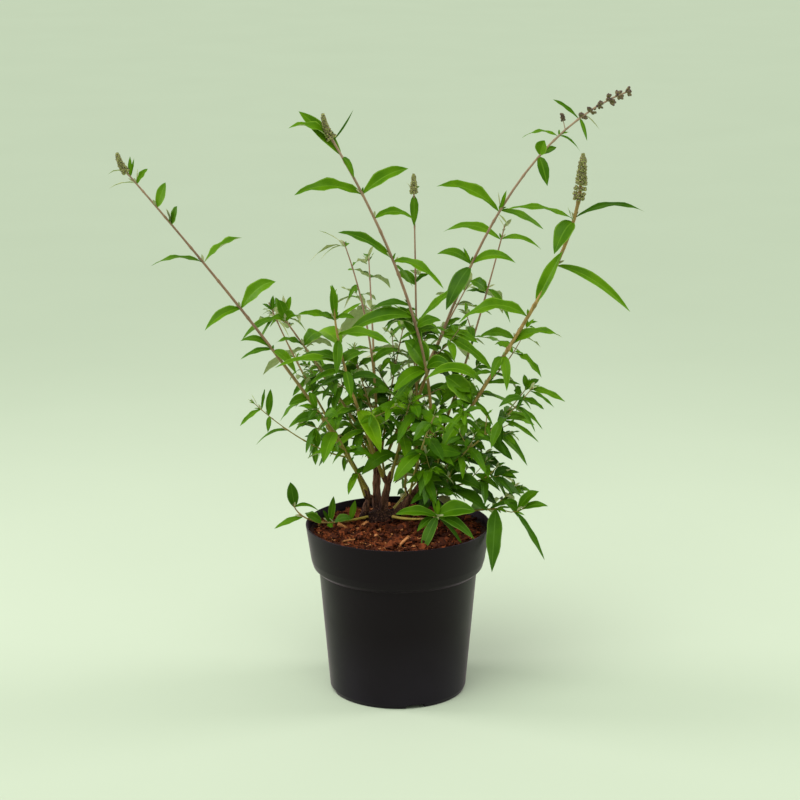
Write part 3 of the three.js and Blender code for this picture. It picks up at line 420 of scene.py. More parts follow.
class Sheet:
    """A node tree that is being written."""

    def __init__(self, tree):
        self.tree = tree

    def node(self, kind, settings=None, values=None, out=0):
        """Any node: its type, its settings, then the values or links of its sockets."""
        made = self.tree.nodes.new(kind)
        for key, value in (settings or {}).items():
            setattr(made, key, value)
        for key, value in (values or {}).items():
            self.feed(open_socket(made.inputs, key), value)
        return Term(self, open_socket(made.outputs, out))

    def geo(self, kind, settings=None, out=0, **values):
        """A geometry node, with _ for each space in a socket's name."""
        values = {key.replace("_", " "): value for key, value in values.items()}
        return self.node("GeometryNode" + kind, settings, values, out)

    def feed(self, socket, value):
        for each in value if isinstance(value, list) else [value]:
            if isinstance(each, Term):
                self.tree.links.new(each.socket, socket)
            else:
                socket.default_value = each

    def work_out(self, operation, *parts):
        vectors = [part for part in parts if is_vector(part)]
        if not vectors:
            return self.node("ShaderNodeMath", {"operation": operation}, dict(enumerate(parts)))
        kind, out = "ShaderNodeVectorMath", "Vector"
        if operation == "MULTIPLY" and len(vectors) == 1:
            number = next(part for part in parts if not is_vector(part))
            return self.node(kind, {"operation": "SCALE"}, {0: vectors[0], 3: number})
        if operation in ("DOT_PRODUCT", "LENGTH"):
            out = "Value"
        return self.node(kind, {"operation": operation}, dict(enumerate(parts)), out)

    def blend(self, share, *ends):
        """A colour between two colours, each an output or red, green, blue from 0 to 255."""
        low, high = (end if isinstance(end, Term) else colour(*end) for end in ends)
        return self.node("ShaderNodeMix", {"data_type": "RGBA"},
                         {"Factor": share, "A": low, "B": high}, "Result")

    def fit(self, value, low, high, to_low=0.0, to_high=1.0):
        """A value stretched from one range to another, and held inside it."""
        return self.node("ShaderNodeMapRange", {"clamp": True},
                         {"Value": value, "From Min": low, "From Max": high,
                          "To Min": to_low, "To Max": to_high}, "Result")

    def noise(self, place, scale, detail, out="Fac", rough=0.5):
        return self.node("ShaderNodeTexNoise", None, {"Vector": place, "Scale": scale,
                         "Detail": detail, "Roughness": rough}, out)

    def xyz(self, x, y, z):
        return self.node("ShaderNodeCombineXYZ", None, {0: x, 1: y, 2: z})

    def read(self, name, kind="FLOAT"):
        return self.geo("InputNamedAttribute", {"data_type": kind}, "Attribute", Name=name)

    def note(self, geometry, name, value, kind="FLOAT", domain="POINT"):
        return self.geo("StoreNamedAttribute", {"data_type": kind, "domain": domain},
                        Geometry=geometry, Name=name, Value=value)

    def dressed(self, geometry, finish, where=True):
        return self.geo("SetMaterial", Geometry=geometry, Selection=where, Material=finish)


# ---------------------------------------------------------------- growing by rule
def rule_sheet(name, **inputs):
    """An empty geometry tree with its inputs named."""
    tree = bpy.data.node_groups.new(name, "GeometryNodeTree")
    tree.is_modifier = True
    for way, sockets in (("INPUT", {"Geometry": "Geometry", **inputs}),
                         ("OUTPUT", {"Geometry": "Geometry"})):
        for key, kind in sockets.items():
            tree.interface.new_socket(key, in_out=way, socket_type="NodeSocket" + kind)
    sheet = Sheet(tree)
    return sheet, sheet.node("NodeGroupInput").out


def close_rule(sheet, geometry):
    end = sheet.tree.nodes.new("NodeGroupOutput")
    sheet.feed(end.inputs["Geometry"], geometry)
    return sheet.tree


def piece_by_rule(name, tree, mesh, **inputs):
    """Runs a geometry tree on a mesh, and keeps the result as a plain mesh."""
    carrier = placed(name + "_carrier", mesh)
    modifier = carrier.modifiers.new("rule", "NODES")
    modifier.node_group = tree
    for item in tree.interface.items_tree:
        if item.in_out == "INPUT" and item.name in inputs:
            modifier[item.identifier] = inputs[item.name]
    return kept_shape(name, carrier)


def kept_shape(name, carrier):
    """A new piece with the evaluated mesh of a carrier, which goes."""
    depsgraph = bpy.context.evaluated_depsgraph_get()
    mesh = bpy.data.meshes.new_from_object(carrier.evaluated_get(depsgraph), depsgraph=depsgraph)
    for index in reversed(range(len(mesh.materials))):
        if mesh.materials[index] is None:
            mesh.materials.pop(index=index)
    kept = ("position", "material_index", "sharp_face", "sharp_edge")
    for attribute in [each for each in mesh.attributes if not each.is_required]:
        if attribute.name not in kept and not attribute.name.startswith("."):
            mesh.attributes.remove(attribute)
    bpy.data.objects.remove(carrier)
    return placed(name, mesh)


def placed(name, data, *finishes):
    for finish in finishes:
        data.materials.append(finish)
    piece = bpy.data.objects.new(name, data)
    bpy.context.scene.collection.objects.link(piece)
    return piece


def smooth_below(piece, angle):
    piece.data.shade_smooth()
    piece.data.set_sharp_from_angle(angle=math.radians(angle))


def mesh_of(form, name):
    """The mesh of a form that is done with."""
    mesh = bpy.data.meshes.new(name)
    form.to_mesh(mesh)
    form.free()
    return mesh


def points_with(records, numbers, vectors):
    """Loose points, one for each record, that carry its numbers and vectors."""
    mesh = bpy.data.meshes.new("points")
    mesh.from_pydata([record["root"] for record in records], [], [])
    for key in numbers:
        attribute = mesh.attributes.new(key, "FLOAT", "POINT")
        attribute.data.foreach_set("value", [record[key] for record in records])
    for key in vectors:
        attribute = mesh.attributes.new(key, "FLOAT_VECTOR", "POINT")
        attribute.data.foreach_set("vector", [part for record in records for part in record[key]])
    return mesh


# ---------------------------------------------------------------- finishes
def colour(red, green, blue):
    """A colour given from 0 to 255, as light."""
    def light(part):
        part /= 255
        return part / 12.92 if part <= 0.04045 else ((part + 0.055) / 1.055) ** 2.4
    return (light(red), light(green), light(blue), 1.0)


class Finish(Sheet):
    """A material that is being written: fixed values on the shader's own sockets."""

    def __init__(self, name, specular, **fixed):
        self.material = bpy.data.materials.new(name)
        self.material.use_nodes = True
        super().__init__(self.material.node_tree)
        self.shader = self.tree.nodes["Principled BSDF"]
        self.shader.inputs["Specular IOR Level"].default_value = specular
        for key, value in fixed.items():
            self.shader.inputs[key.replace("_", " ")].default_value = value

    def place(self):
        return self.node("ShaderNodeTexCoord", out="Object")

    def height(self):
        return self.place().part("Z")

    def grain(self, scale, detail=3.0, stretch=(1, 1, 1), rough=0.5):
        """Noise that lies still on the object, at a number of lumps to the metre."""
        place = self.node("ShaderNodeMapping", None, {"Vector": self.place(), "Scale": stretch})
        return self.noise(place, scale, detail, rough=rough)

    def done(self, base, grain, rough, relief, depth, strength=1.0):
        """Closes it with its colour, a roughness dealt out by a grain, and a bump."""
        self.feed(self.shader.inputs["Base Color"], base)
        self.feed(self.shader.inputs["Roughness"], self.fit(grain, 0.3, 0.7, *rough))
        self.feed(self.shader.inputs["Normal"], self.node("ShaderNodeBump", None, {
            "Height": relief, "Distance": depth, "Strength": strength}, "Normal"))
        return self.material


def leaf_green(name):
    pale, full = TONES[name]
    coat = Finish("leaf_" + name, 0.08)
    patches = coat.fit(coat.grain(45, 2), 0.35, 0.65)
    fine = coat.grain(700, 2)
    return coat.done(coat.blend(patches, full, pale), fine, (0.38, 0.52), fine, 0.0003, 0.5)


def leaf_felt(name, light, shade, roughness=0.85):
    """The matt pale felt of a leaf's underside, a rib or a young leaf, and the painted highlight
    along an outer leaf's edge.
    """
    coat = Finish(name, 0.15)
    fine = coat.grain(500, 3)
    base = coat.blend(fine, shade, light)
    return coat.done(base, fine, (roughness - 0.1, roughness), fine, 0.0003, 0.6)


def cane_bark():
    """Tan and olive at the foot, brown above."""
    coat = Finish("cane_bark", 0.3)
    streaks = coat.grain(260, 3, (1, 1, 0.12))
    specks = coat.grain(900, 2)
    low = coat.blend(streaks, (106, 102, 28), (176, 156, 62))
    high = coat.blend(streaks, (92, 68, 42), (158, 126, 80))
    base = coat.blend(coat.fit(coat.height(), 0.26, 0.40), low, high)
    return coat.done(base, specks, (0.5, 0.7), streaks + specks * 0.4, 0.0005, 0.7)


def shoot_skin():
    """The thinner bark of a leafy shoot: olive low down, dull pink and then pale felt above."""
    coat = Finish("shoot_skin", 0.3, Sheen_Weight=0.1)
    streaks = coat.grain(300, 3, (1, 1, 0.15))
    height = coat.height()
    low = coat.blend(streaks, (100, 106, 28), (168, 150, 60))
    middle = coat.blend(streaks, (98, 74, 58), (160, 132, 98))
    top = coat.blend(streaks, (124, 102, 80), (182, 162, 130))
    stem = coat.blend(coat.fit(height, 0.27, 0.42), low, middle)
    base = coat.blend(coat.fit(height, 0.5, 0.66), stem, top)
    return coat.done(base, streaks, (0.55, 0.75), streaks, 0.0004, 0.6)


def crown_skin():
    """Old bark: dark furrows, grey-brown ridges that run up the wood, and a dark foot that is
    painted shade where the crown goes into the mulch.
    """
    coat = Finish("crown_bark", 0.2)
    ridges = coat.fit(coat.grain(300, 5, (1, 1, 0.14), 0.6), 0.34, 0.62)
    flakes = coat.grain(560, 3)
    bark = coat.blend(ridges, (38, 21, 14), (132, 94, 68))
    # Painted shade: the bark darkens in patches from 228 mm down to 200 mm, just above the mulch.
    foot = coat.fit(coat.height(), 0.228, 0.2)
    base = coat.blend(foot * coat.fit(flakes, 0.25, 0.5), bark, (34, 16, 10))
    return coat.done(base, flakes, (0.82, 0.95), ridges + flakes * 0.5, 0.0014)


def plain_grain(name, low, high, scale, roughness, depth, specular=0.3, stretch=(1, 1, 1)):
    """Two colours mixed by noise, with a bump of the same grain."""
    coat = Finish(name, specular)
    lumps = coat.grain(scale, 4, stretch)
    base = coat.blend(coat.fit(lumps, 0.3, 0.7), low, high)
    return coat.done(base, lumps, (roughness - 0.12, roughness), lumps, depth, 0.8)


def grained(*names):
    """Finishes of the table, by name."""
    return [plain_grain(name, *GRAINS[name]) for name in names]


def pot_plastic():
    """Black satin plastic with a faint violet bloom, paler and bluish-grey in patches towards the
    foot, and splashed low down.
    """
    coat = Finish("pot_plastic", 0.15, Specular_Tint=(1.0, 0.84, 0.98, 1), Sheen_Weight=0.22,
                  Sheen_Roughness=0.25, Sheen_Tint=(1.0, 0.72, 0.92, 1))
    haze = coat.grain(14, 4)
    skin = coat.grain(1400, 2)
    specks = coat.fit(coat.grain(330, 1), 0.73, 0.76)
    low = coat.fit(coat.height(), 0.09, 0.0)
    black = coat.blend(haze, (9, 6, 8), (16, 12, 16))
    # Paler, bluish-grey patches towards the foot.
    bluish_low = coat.blend(low * haze * 0.7, black, (40, 38, 48))
    base = coat.blend(specks * low, bluish_low, (6, 5, 6))
    return coat.done(base, haze + specks * -0.3 * low, (0.36, 0.5), skin, 0.0001, 0.35)


def floor_paper():
    coat = Finish("floor_paper", 0.1, Roughness=0.9)
    coat.feed(coat.shader.inputs["Base Color"],
              coat.blend(coat.grain(3, 2), (188, 205, 179), (192, 209, 183)))
    return coat.material


# ---------------------------------------------------------------- lines of growth
def aim(heading, lean):
    """The direction with a heading and a lean from the vertical."""
    turn, tilt = math.radians(heading), math.radians(lean)
    flat = math.sin(tilt)
    return Vector((flat * math.cos(turn), flat * math.sin(turn), math.cos(tilt)))


def across_of(heading):
    turn = math.radians(heading)
    return Vector((math.sin(turn), -math.cos(turn), 0))


def chance(seed, key, channel):
    """A value from 0 to 1 that looks random and is the same each time. The three numbers only
    tell one draw from another."""
    wave = math.sin(seed * 127.1 + key * 311.7 + channel * 74.7) * 43758.5453
    return wave - math.floor(wave)


def swayed(seed, key):
    """Draws from -1 to 1 by their channel."""
    return lambda channel: chance(seed, key, channel) * 2 - 1


def along(line, share):
    """The point and the direction at a share of a line of points."""
    last = len(line) - 1
    step = min(math.floor(share * last), last - 1)
    run = line[step + 1] - line[step]
    return line[step] + run * (share * last - step), run.normalized()


def arched(root, direction, length, droop, share):
    """A point of a line that starts in a direction and bends down by droop, or up if negative."""
    return root + direction * (length * share) - UP * (0.5 * length * droop * share * share)


def arc(root, direction, length, droop, parts):
    return [arched(root, direction, length, droop, i / parts) for i in range(parts + 1)]


def tapered(radius, loss, parts):
    """Radii that dwindle by a share towards the tip."""
    return [radius * (1 - loss * i / parts) for i in range(parts + 1)]


def walked(point, shoot):
    """The line of a shoot from its foot."""
    line = [point]
    foot_lean, tip_lean = shoot["lean"]
    for step in range(STEPS):
        lean = foot_lean + (tip_lean - foot_lean) * ((step + 0.5) / STEPS) ** shoot["bend"]
        point = point + aim(shoot["heading"], lean) * (shoot["length"] / STEPS)
        line.append(point)
    return line


def foot_of(shoot, lines):
    if "parent" in shoot:
        point = along(lines[shoot["parent"]], shoot["share"])[0]
        return point + aim(shoot["heading"], shoot["lean"][0]) * shoot["stand"]
    return Vector(shoot["foot"])


def settled(direction, calm):
    """A direction turned part of the way to a leaf's resting rise."""
    flat = math.hypot(direction.x, direction.y)
    rise = math.atan2(direction.z, flat)
    eased = rise + calm * (math.radians(REST_RISE) - rise)
    level = math.cos(eased) / flat
    return Vector((direction.x * level, direction.y * level, math.sin(eased)))


def light_on(point, ahead):
    """The light that a leaf turns to: on the far side of the bush it comes from behind."""
    return BACK_LIGHT if point.y + REACH * ahead.y > BACK_FROM else LIGHT


def tilted(side, ahead, turn, light):
    """The side of a blade turned about it, with the upper face to the light."""
    side = side * math.cos(turn) + ahead.cross(side) * math.sin(turn)
    return side if ahead.cross(side).dot(light) > 0 else -side


def leaf_set(place, roll, opening, calm, tilt):
    """Where a leaf sets out from its stem: its direction, and the direction across its blade."""
    point, direction, across = place
    roll, opening, tilt = math.radians(roll), math.radians(opening), math.radians(tilt)
    outward = across * math.cos(roll) + across.cross(direction) * math.sin(roll)
    ahead = settled(direction * math.cos(opening) + outward * math.sin(opening), calm)
    side = direction.cross(outward)
    side = (side - ahead * side.dot(ahead)).normalized()
    light = light_on(point, ahead)
    lit = light.cross(ahead).normalized()
    if lit.dot(side) < 0:
        lit = -lit
    return ahead, tilted(side.lerp(lit, LIGHT_SHARE).normalized(), ahead, tilt, light)


# ---------------------------------------------------------------- the bush, as records
OUTER = {tone: [] for tone in TONES}
LEAVES = {tone: [] for tone in TONES}
LEAFLETS = {tone: [] for tone in (*TONES, "felt")}
CANES, SHOOTS_WOOD, OLIVE_WOOD, TWIGS_WOOD = [], [], [], []
BUDS, CAPSULES = [], []
TONE_NAMES = list(TONES)


def add_leaf(seed, key, root, ahead, side, size, droop, wide, tone, curl=1.0, large=LEAVES):
    """One leaf record; tone is a number from 0 to 4, or felt."""
    sway = swayed(seed, key)
    leaf = dict(root=root * MM, ahead=ahead, side=side, size=size * MM, droop=droop, wide=wide,
                fold=math.radians(13 + 12 * sway(41)), wave=0.026 * curl * (1.1 + sway(42)),
                bend=0.09 * curl * sway(43), twist=math.radians(38) * curl * sway(44),
                phase=math.pi * sway(45))
    if tone == "felt":
        LEAFLETS["felt"].append(leaf)
        return
    step = min(4, max(0, round(tone + 0.95 * curl * sway(46))))
    (large if size >= LARGE_LEAF else LEAFLETS)[TONE_NAMES[step]].append(leaf)


def packed_points(node):
    """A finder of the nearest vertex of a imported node, in millimetres."""
    vertices = frame["nodes"][node].data.vertices
    tree = kdtree.KDTree(len(vertices))
    for index, vertex in enumerate(vertices):
        tree.insert(vertex.co / MM, index)
    tree.balance()
    return lambda point, limit: tree.find(point)[2] < limit


def pair_shares(plan):
    """The place along the run, from 0 to 1, and the share of the line of each pair of leaves."""
    for k in range(plan["pairs"] + 1):
        u = k / plan["pairs"]
        yield u, plan["first"] + (plan["last"] - plan["first"]) * (1 - (1 - u) ** CROWDING)


def grow_pairs(line, across, shoot, plan):
    """The leaves on a line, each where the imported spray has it, and the twigs in their axils."""
    seed, near = shoot["seed"], shoot["near"]
    for k, (u, share) in enumerate(pair_shares(plan)):
        place = (*along(line, min(share, NEAR_END)), across)
        listed = share > plan.get("listed", 2)
        young = shoot["low"] + (1 - shoot["low"]) * min(1, u / 0.3)
        size = plan["leaf"] * young * (1 - shoot["fade"] * max(0, (u - 0.5) / 0.5) ** 1.5)
        for half in range(2):
            key = plan["key"] + k * 2 + half
            sway = swayed(seed, key)
            roll = shoot["roll"] + shoot["twist"] * (k % 2) + plan["turn"] + 180 * half
            opening = shoot["open"] + STRAY["open"] * sway(1) - CLOSING * u ** 2
            length = size * (1 + STRAY["size"] * sway(3))
            droop = shoot["droop"] * (1 + STRAY["droop"] * sway(2)) * (1 - 0.5 * u * u)
            for extra in TRIES:
                ahead, side = leaf_set(place, roll + STRAY["roll"] * sway(4) + extra, opening,
                                       0.5 * (1 - u), STRAY["tilt"] * sway(8))
                root = place[0] - ahead * SUNK
                if near(arched(root, ahead, length, droop, 1), LEAF_MATCH):
                    if not listed or ahead.y > 0.7:
                        add_leaf(seed, key, root, ahead, side, length, droop, shoot["wide"],
                                 shoot["tone"])
                    break
            if plan["on_twig"] or listed:
                continue
            grow_axil(place, roll, length, shoot, key, u)
            if 0 < k < plan["pairs"] and chance(seed, key, 5) < shoot["twigs"]:
                ahead = leaf_set(place, roll + 20 * sway(7), TWIG["open"], 0, 0)[0]
                length = shoot["twig"] * (0.6 + 0.8 * chance(seed, key, 6)) * (1 - 0.5 * u)
                grow_twig(place[0], ahead, length, shoot, plan["leaf"], key)


def grow_twig(point, ahead, length, shoot, leaf, key):
    line = arc(point, ahead, length, -TWIG["rise"], 4)
    if not shoot["near"](line[-1], TWIG_MATCH):
        return
    across = ahead.cross(UP).normalized()
    TWIGS_WOOD.append((line, tapered(TWIG["radius"], 0.4, 4)))
    plan = dict(pairs=TWIG["pairs"], first=TWIG["first"], last=1, leaf=leaf * TWIG["leaf_share"],
                turn=90, key=KEYS["twig"] + key * 20, on_twig=True)
    grow_pairs(line, across, shoot, plan)
    grow_tuft(line, across, shoot["seed"], KEYS["twig_tuft"] + key, leaf * 0.28,
              shoot["tone"] - 0.6)


def grow_set_leaves(name, line, seed):
    """The leaves of the table, each from its stem to its own tip."""
    leaves = [entry for entry in SET_LEAVES.get(name, ()) if isinstance(entry, tuple)]
    for number, (share, x, y, z, droop, wide, tone, *tilt) in enumerate(leaves):
        point = along(line, min(share, NEAR_END))[0]
        reach = Vector((x, y, z)) - point
        flat = 1 - 0.25 * droop * droop
        fall = droop * reach.z
        length = (fall + math.sqrt(fall * fall + 4 * flat * reach.length_squared)) / (2 * flat)
        ahead = (reach + UP * (0.5 * length * droop)) / length
        side = tilted(LIGHT.cross(ahead).normalized(), ahead, math.radians(sum(tilt)), LIGHT)
        add_leaf(seed, KEYS["set_leaf"] + number, point - ahead * SUNK, ahead, side, length, droop,
                 wide, tone, 0.55, OUTER)
        if length > 24:
            tip, run = along(line, min(share + 0.002, NEAR_END))
            out = (ahead + run * 1.3).normalized()
            small = 7 + 5 * chance(seed, number, 90)
            young = tone == "felt" or chance(seed, number, 91) < 0.6
            add_leaf(seed, KEYS["set_axil"] + number, tip, out, LIGHT.cross(out).normalized(),
                     small, 0.3, 0.3, "felt" if young else tone - 0.5)


def grow_axil(place, roll, leaf, shoot, key, u):
    """The small leaves in a leaf's axil, or a fine twig with its own small pairs."""
    seed = shoot["seed"]
    if chance(seed, key, 21) < shoot["bushy"] * (1.3 - u):
        grow_fine_twig(place, roll, leaf, shoot, key, u)
        return
    for spur in range(key * 3, key * 3 + 3):
        if chance(seed, spur, 22) > AXIL_LEAF["chance"]:
            continue
        sway = swayed(seed, spur)
        ahead, side = leaf_set(place, roll + 40 * sway(23), AXIL_LEAF["open"] + 20 * sway(24), 0.1,
                               30 * sway(25))
        size = min(leaf * (0.5 + 0.17 * sway(26)), AXIL_LEAF["longest"])
        add_leaf(seed, KEYS["axil"] + spur, place[0] + ahead * 0.6, ahead, side, size,
                 1.1 * (1 + 0.5 * sway(27)), 0.3, shoot["tone"] - 0.3)


def grow_fine_twig(place, roll, leaf, shoot, key, u):
    seed = shoot["seed"]
    sway = swayed(seed, key)
    ahead = leaf_set(place, roll + 25 * sway(31), FINE_TWIG["open"] + 10 * sway(32), 0.15, 0)[0]
    length = min(leaf * (0.72 + 0.25 * sway(33)) * (1 - 0.3 * u), FINE_TWIG["longest"])
    line = arc(place[0], ahead, length, -0.35 + 0.3 * sway(34), 5)
    level = ahead.cross(UP).normalized()
    TWIGS_WOOD.append((line, tapered(FINE_TWIG["radius"], 0.5, 5)))
    pairs = 1 + (length > FINE_TWIG["two_pairs_from"])
    for k in range(1, pairs + 1):
        spot, run = along(line, min(k / (pairs + 0.4), 0.97))
        for half in range(2):
            spur = KEYS["fine_twig"] + key * 12 + k * 2 + half
            sway = swayed(seed, spur)
            out, side = leaf_set((spot, run, level), 90 * (k % 2) + 180 * half + 24 * sway(1),
                                 58 + 14 * sway(2), 0.3, 25 * sway(3))
            size = min(length * (1.0 + 0.2 * sway(4)), FINE_TWIG["leaf_longest"])
            add_leaf(seed, spur, spot - out * 0.2, out, side, size, 1.2 * (1 + 0.5 * sway(5)),
                     0.33, shoot["tone"] + 0.1)
    grow_tuft(line, level, seed, KEYS["fine_tuft"] + key, length * 0.5, shoot["tone"] - 0.5)


def grow_tuft(line, across, seed, key, size, tone):
    """The close young leaves at the end of a shoot: an outer pair, and an inner one across it."""
    for i in range(4):
        inner, half = divmod(i, 2)
        sway = swayed(seed, key * 5 + i)
        point, direction = along(line, 0.97 + 0.01 * inner)
        ahead, side = leaf_set((point, direction, across), 180 * half + 90 * inner + 20 * sway(1),
                               30 - 9 * inner + 8 * sway(2), 0, 30 * sway(3))
        length = max(5, size * (1 - 0.3 * inner) * (1 + 0.25 * sway(4)))
        young = inner and chance(seed, key + i, 9) < 0.6
        add_leaf(seed, KEYS["tuft"] + key * 5 + i, point, ahead, side, length,
                 0.4 + 0.3 * sway(5), 0.24, "felt" if young else tone)


def wood_along(line, shoot, shares, nodes, start, end):
    """Points and radii of a stem, a little swollen at each leaf node."""
    points, radii = [], []
    for share in sorted(shares):
        if start <= share <= end:
            points.append(along(line, min(share, 0.9999))[0])
            plain = shoot["radius"] * shoot["slim"] * (1 - (1 - shoot["end"]) * share)
            nearest = min((abs(share - node) * shoot["length"] for node in nodes), default=99)
            radii.append(plain * (1 + 0.32 * math.exp(-(nearest / 2.2) ** 2)))
    return points, radii


def grow_side_shoots(line, shoot):
    """Fine leafy shoots from the lower nodes of a cane."""
    for j in range(shoot["sides"]):
        sway = swayed(shoot["seed"], KEYS["side"] + j)
        share = 0.05 + 0.33 * (j + 0.5 + 0.3 * sway(1)) / shoot["sides"]
        heading = shoot["heading"] + 90 * (-1) ** j + 65 * sway(2)
        lean = SIDE_SHOOT["lean"] + 14 * sway(3)
        # Their leaves are half a tone darker: painted shade, as they grow low inside the bush.
        fine = {**shoot, "heading": heading, "lean": (lean, lean - 22 + 14 * sway(4)), "bend": 1,
                "length": SIDE_SHOOT["length"] + 24 * sway(5),
                "leaf": SIDE_SHOOT["leaf"] + 6 * sway(6), "roll": 90 * sway(7),
                "twist": 75, "twigs": 0, "low": 0.75, "bushy": 0.12, "wide": 0.34,
                "tone": shoot["tone"] + 0.5, "near": lambda spot, limit: True}
        side_line = walked(along(line, share)[0], fine)
        across = across_of(heading)
        plan = dict(pairs=SIDE_SHOOT["pairs"], first=SIDE_SHOOT["first"], last=1,
                    leaf=fine["leaf"], turn=0, key=KEYS["side_pairs"] + 40 * j, on_twig=False)
        grow_pairs(side_line, across, fine, plan)
        grow_tuft(side_line, across, shoot["seed"], KEYS["side_tuft"] + j, fine["leaf"] * 0.5,
                  fine["tone"] - 0.5)
        TWIGS_WOOD.append((side_line[::3], tapered(SIDE_SHOOT["radius"], 0.6, STEPS // 3)))


def grow_bush():
    lines = {}
    for seed, (name, entry) in enumerate(SHOOTS.items(), 1):
        shoot = {**SHOOT_DEFAULTS, **entry, "seed": seed, "near": packed_points(name + "_spray")}
        line = lines[name] = walked(foot_of(shoot, lines), shoot)
        across = across_of(shoot["heading"])
        cane, spike = shoot["cane"], shoot["spike"]
        last = 1 - shoot["spike_length"] / shoot["length"]
        plan = dict(pairs=shoot["pairs"], first=shoot["first"], last=last, leaf=shoot["leaf"],
                    turn=0, key=0, on_twig=False, listed=SET_LEAVES.get(name, (2,))[0])
        nodes = [share for u, share in pair_shares(plan)]
        reach = 4.5 / shoot["length"]
        shares = {i / STEPS for i in range(STEPS + 1)} | {cane}
        shares |= {node + shift * reach for node in nodes for shift in (-1, -0.5, 0, 0.5, 1)}
        shares = {share for share in shares if 0 <= share <= 1}
        if cane:
            CANES.append(wood_along(line, shoot, shares, nodes, 0, cane))
            sunk_foot(CANES[-1])
        points, radii = wood_along(line, shoot, shares | {last}, nodes, cane,
                                   last if spike == "bud" else 1)
        if spike == "bud":
            axis = spike_axis(line, shoot, last)
            points += axis[1:]
            radii += [radii[-1] * (0.95 - 0.09 * i) for i in range(1, len(axis))]
        (OLIVE_WOOD if shoot["olive"] else SHOOTS_WOOD).append((points, radii))
        if not cane:
            sunk_foot((points, radii))
        grow_pairs(line, across, shoot, plan)
        grow_side_shoots(line, shoot)
        grow_set_leaves(name, line, seed)
        for twig, (parent, share, *bends) in SET_TWIGS.items():
            if parent == name:
                twig_line = [along(line, share)[0], *map(Vector, bends)]
                TWIGS_WOOD.append((twig_line, [0.8 - 0.08 * i for i in range(len(twig_line))]))
                grow_set_leaves(twig, twig_line, seed + 40)
        if spike == "bud":
            grow_bud_spike(axis, across, shoot)
        elif spike == "seed":
            grow_seed_head(line, across, seed, last)
        else:
            grow_tuft(line, across, seed, 7, shoot["leaf"] * shoot["tuft"], shoot["tone"] - 0.5)


def sunk_foot(stem, depth=3.0):
    """Carries a stem's foot down into what bears it."""
    points, radii = stem
    points.insert(0, points[0] + (points[0] - points[1]).normalized() * depth)
    radii.insert(0, radii[0] * 1.05)


def ring_of(line, across, share, count, seed, key, opening):
    """Directions round a stem, each leaning forward by an opening."""
    point, direction = along(line, min(share, 0.999))
    top = across.cross(direction)
    for i in range(count):
        turn = 2 * math.pi * (i + 0.5 * (key % 2) + 0.5 * chance(seed, key * 9 + i, 51)) / count
        lean = math.radians(opening + 14 * (chance(seed, key * 9 + i, 52) - 0.5))
        outward = across * math.cos(turn) + top * math.sin(turn)
        yield i, point, direction * math.cos(lean) + outward * math.sin(lean)


def spike_axis(line, shoot, start):
    """The axis of a spike, which rears up from the end of its shoot."""
    point, direction = along(line, start)
    axis = [point]
    for step in range(8):
        run = direction.lerp(UP, max(0, 0.12 * step - 0.1)).normalized()
        point = point + run * (shoot["spike_length"] / 8)
        axis.append(point)
    return axis


def bud(root, axis, size, fat):
    return dict(root=root * MM, axis=axis, size=size * MM, fat=fat)


def grow_bud_spike(axis, across, shoot):
    """A closing spike of buds: loose whorls at its foot, then tight ones that dwindle."""
    seed, length = shoot["seed"], shoot["spike_length"]
    foot_width, lost, power = shoot["spike_shape"]
    gaps = list(LOOSE_WHORLS) if length > BUD_SPIKE["long_from"] else []
    place, key = 1.0, 0
    while place < length - 0.5:
        share = place / length
        width = foot_width * (1 - lost * share ** power)
        opening = BUD_SPIKE["open"] - 14 * share - 300 * max(0, share - 0.87)
        count = round(4 + 1.3 * width)
        for i, point, outward in ring_of(axis, across, share, count, seed, key, opening):
            size = (1.8 + 0.25 * width) * (0.75 + 0.5 * chance(seed, key * 9 + i, 53))
            stand = width * (0.85 + 0.3 * chance(seed, key * 9 + i, 56)) - size * 0.3
            BUDS.append(bud(point + outward * max(0.4, stand), outward, size, BUD_SPIKE["fat"]))
        place += BUD_SPIKE["whorl_gap"] - 0.5 * place / length
        if gaps and place > gaps[0] * length:
            place += BUD_SPIKE["wide_gap"]
            gaps.pop(0)
        key += 1


def grow_seed_head(line, across, seed, start):
    """A spent head: well spaced clusters of dry capsules, and one side head below it."""
    clusters = SEED_HEAD["clusters"]
    for key in range(clusters):
        for half in (0, 1):
            turn = math.pi * half + 1.3 * chance(seed, key, 57)
            share = start + (0.05 + 0.9 * key / (clusters - 1) + 0.035 * half) * (1 - start)
            point, direction = along(line, min(share, 0.998))
            out = across * math.sin(turn) + across.cross(direction) * math.cos(turn)
            spread = SEED_HEAD["stalk"] * (1 - 0.05 * key)
            hub = point + (out + direction * 0.45) * spread
            stalk = point + (out + direction * 0.3) * spread * 0.6
            TWIGS_WOOD.append(([point, stalk, hub], [0.5, 0.45, 0.4]))
            for spur in range(key * 14 + half * 7, key * 14 + half * 7 + 6):
                lump = Vector([swayed(seed, spur)(channel) for channel in (58, 59, 60)])
                axis = (out * 0.7 + direction * 0.8 + lump * 0.9).normalized()
                size = SEED_HEAD["capsule"] * (0.8 + 0.4 * chance(seed, spur, 54))
                CAPSULES.append(bud(hub + lump * SEED_HEAD["spread"], axis, size, 0.62))
    point, direction = along(line, start - SEED_HEAD["side_below"])
    side_line = arc(point, (UP - direction * 0.25).normalized(), SEED_HEAD["side_length"], 0.1, 4)
    TWIGS_WOOD.append((side_line, [0.6, 0.55, 0.5, 0.45, 0.4]))
    for key in range(SEED_HEAD["side_clusters"]):
        share = 0.55 + 0.11 * key
        for i, spot, outward in ring_of(side_line, across, share, 5, seed, 20 + key, 60):
            size = SEED_HEAD["side_capsule"] * (0.8 + 0.35 * chance(seed, key * 9 + i, 54))
            CAPSULES.append(bud(spot + outward * (2.2 - 0.25 * key), outward, size, 0.7))


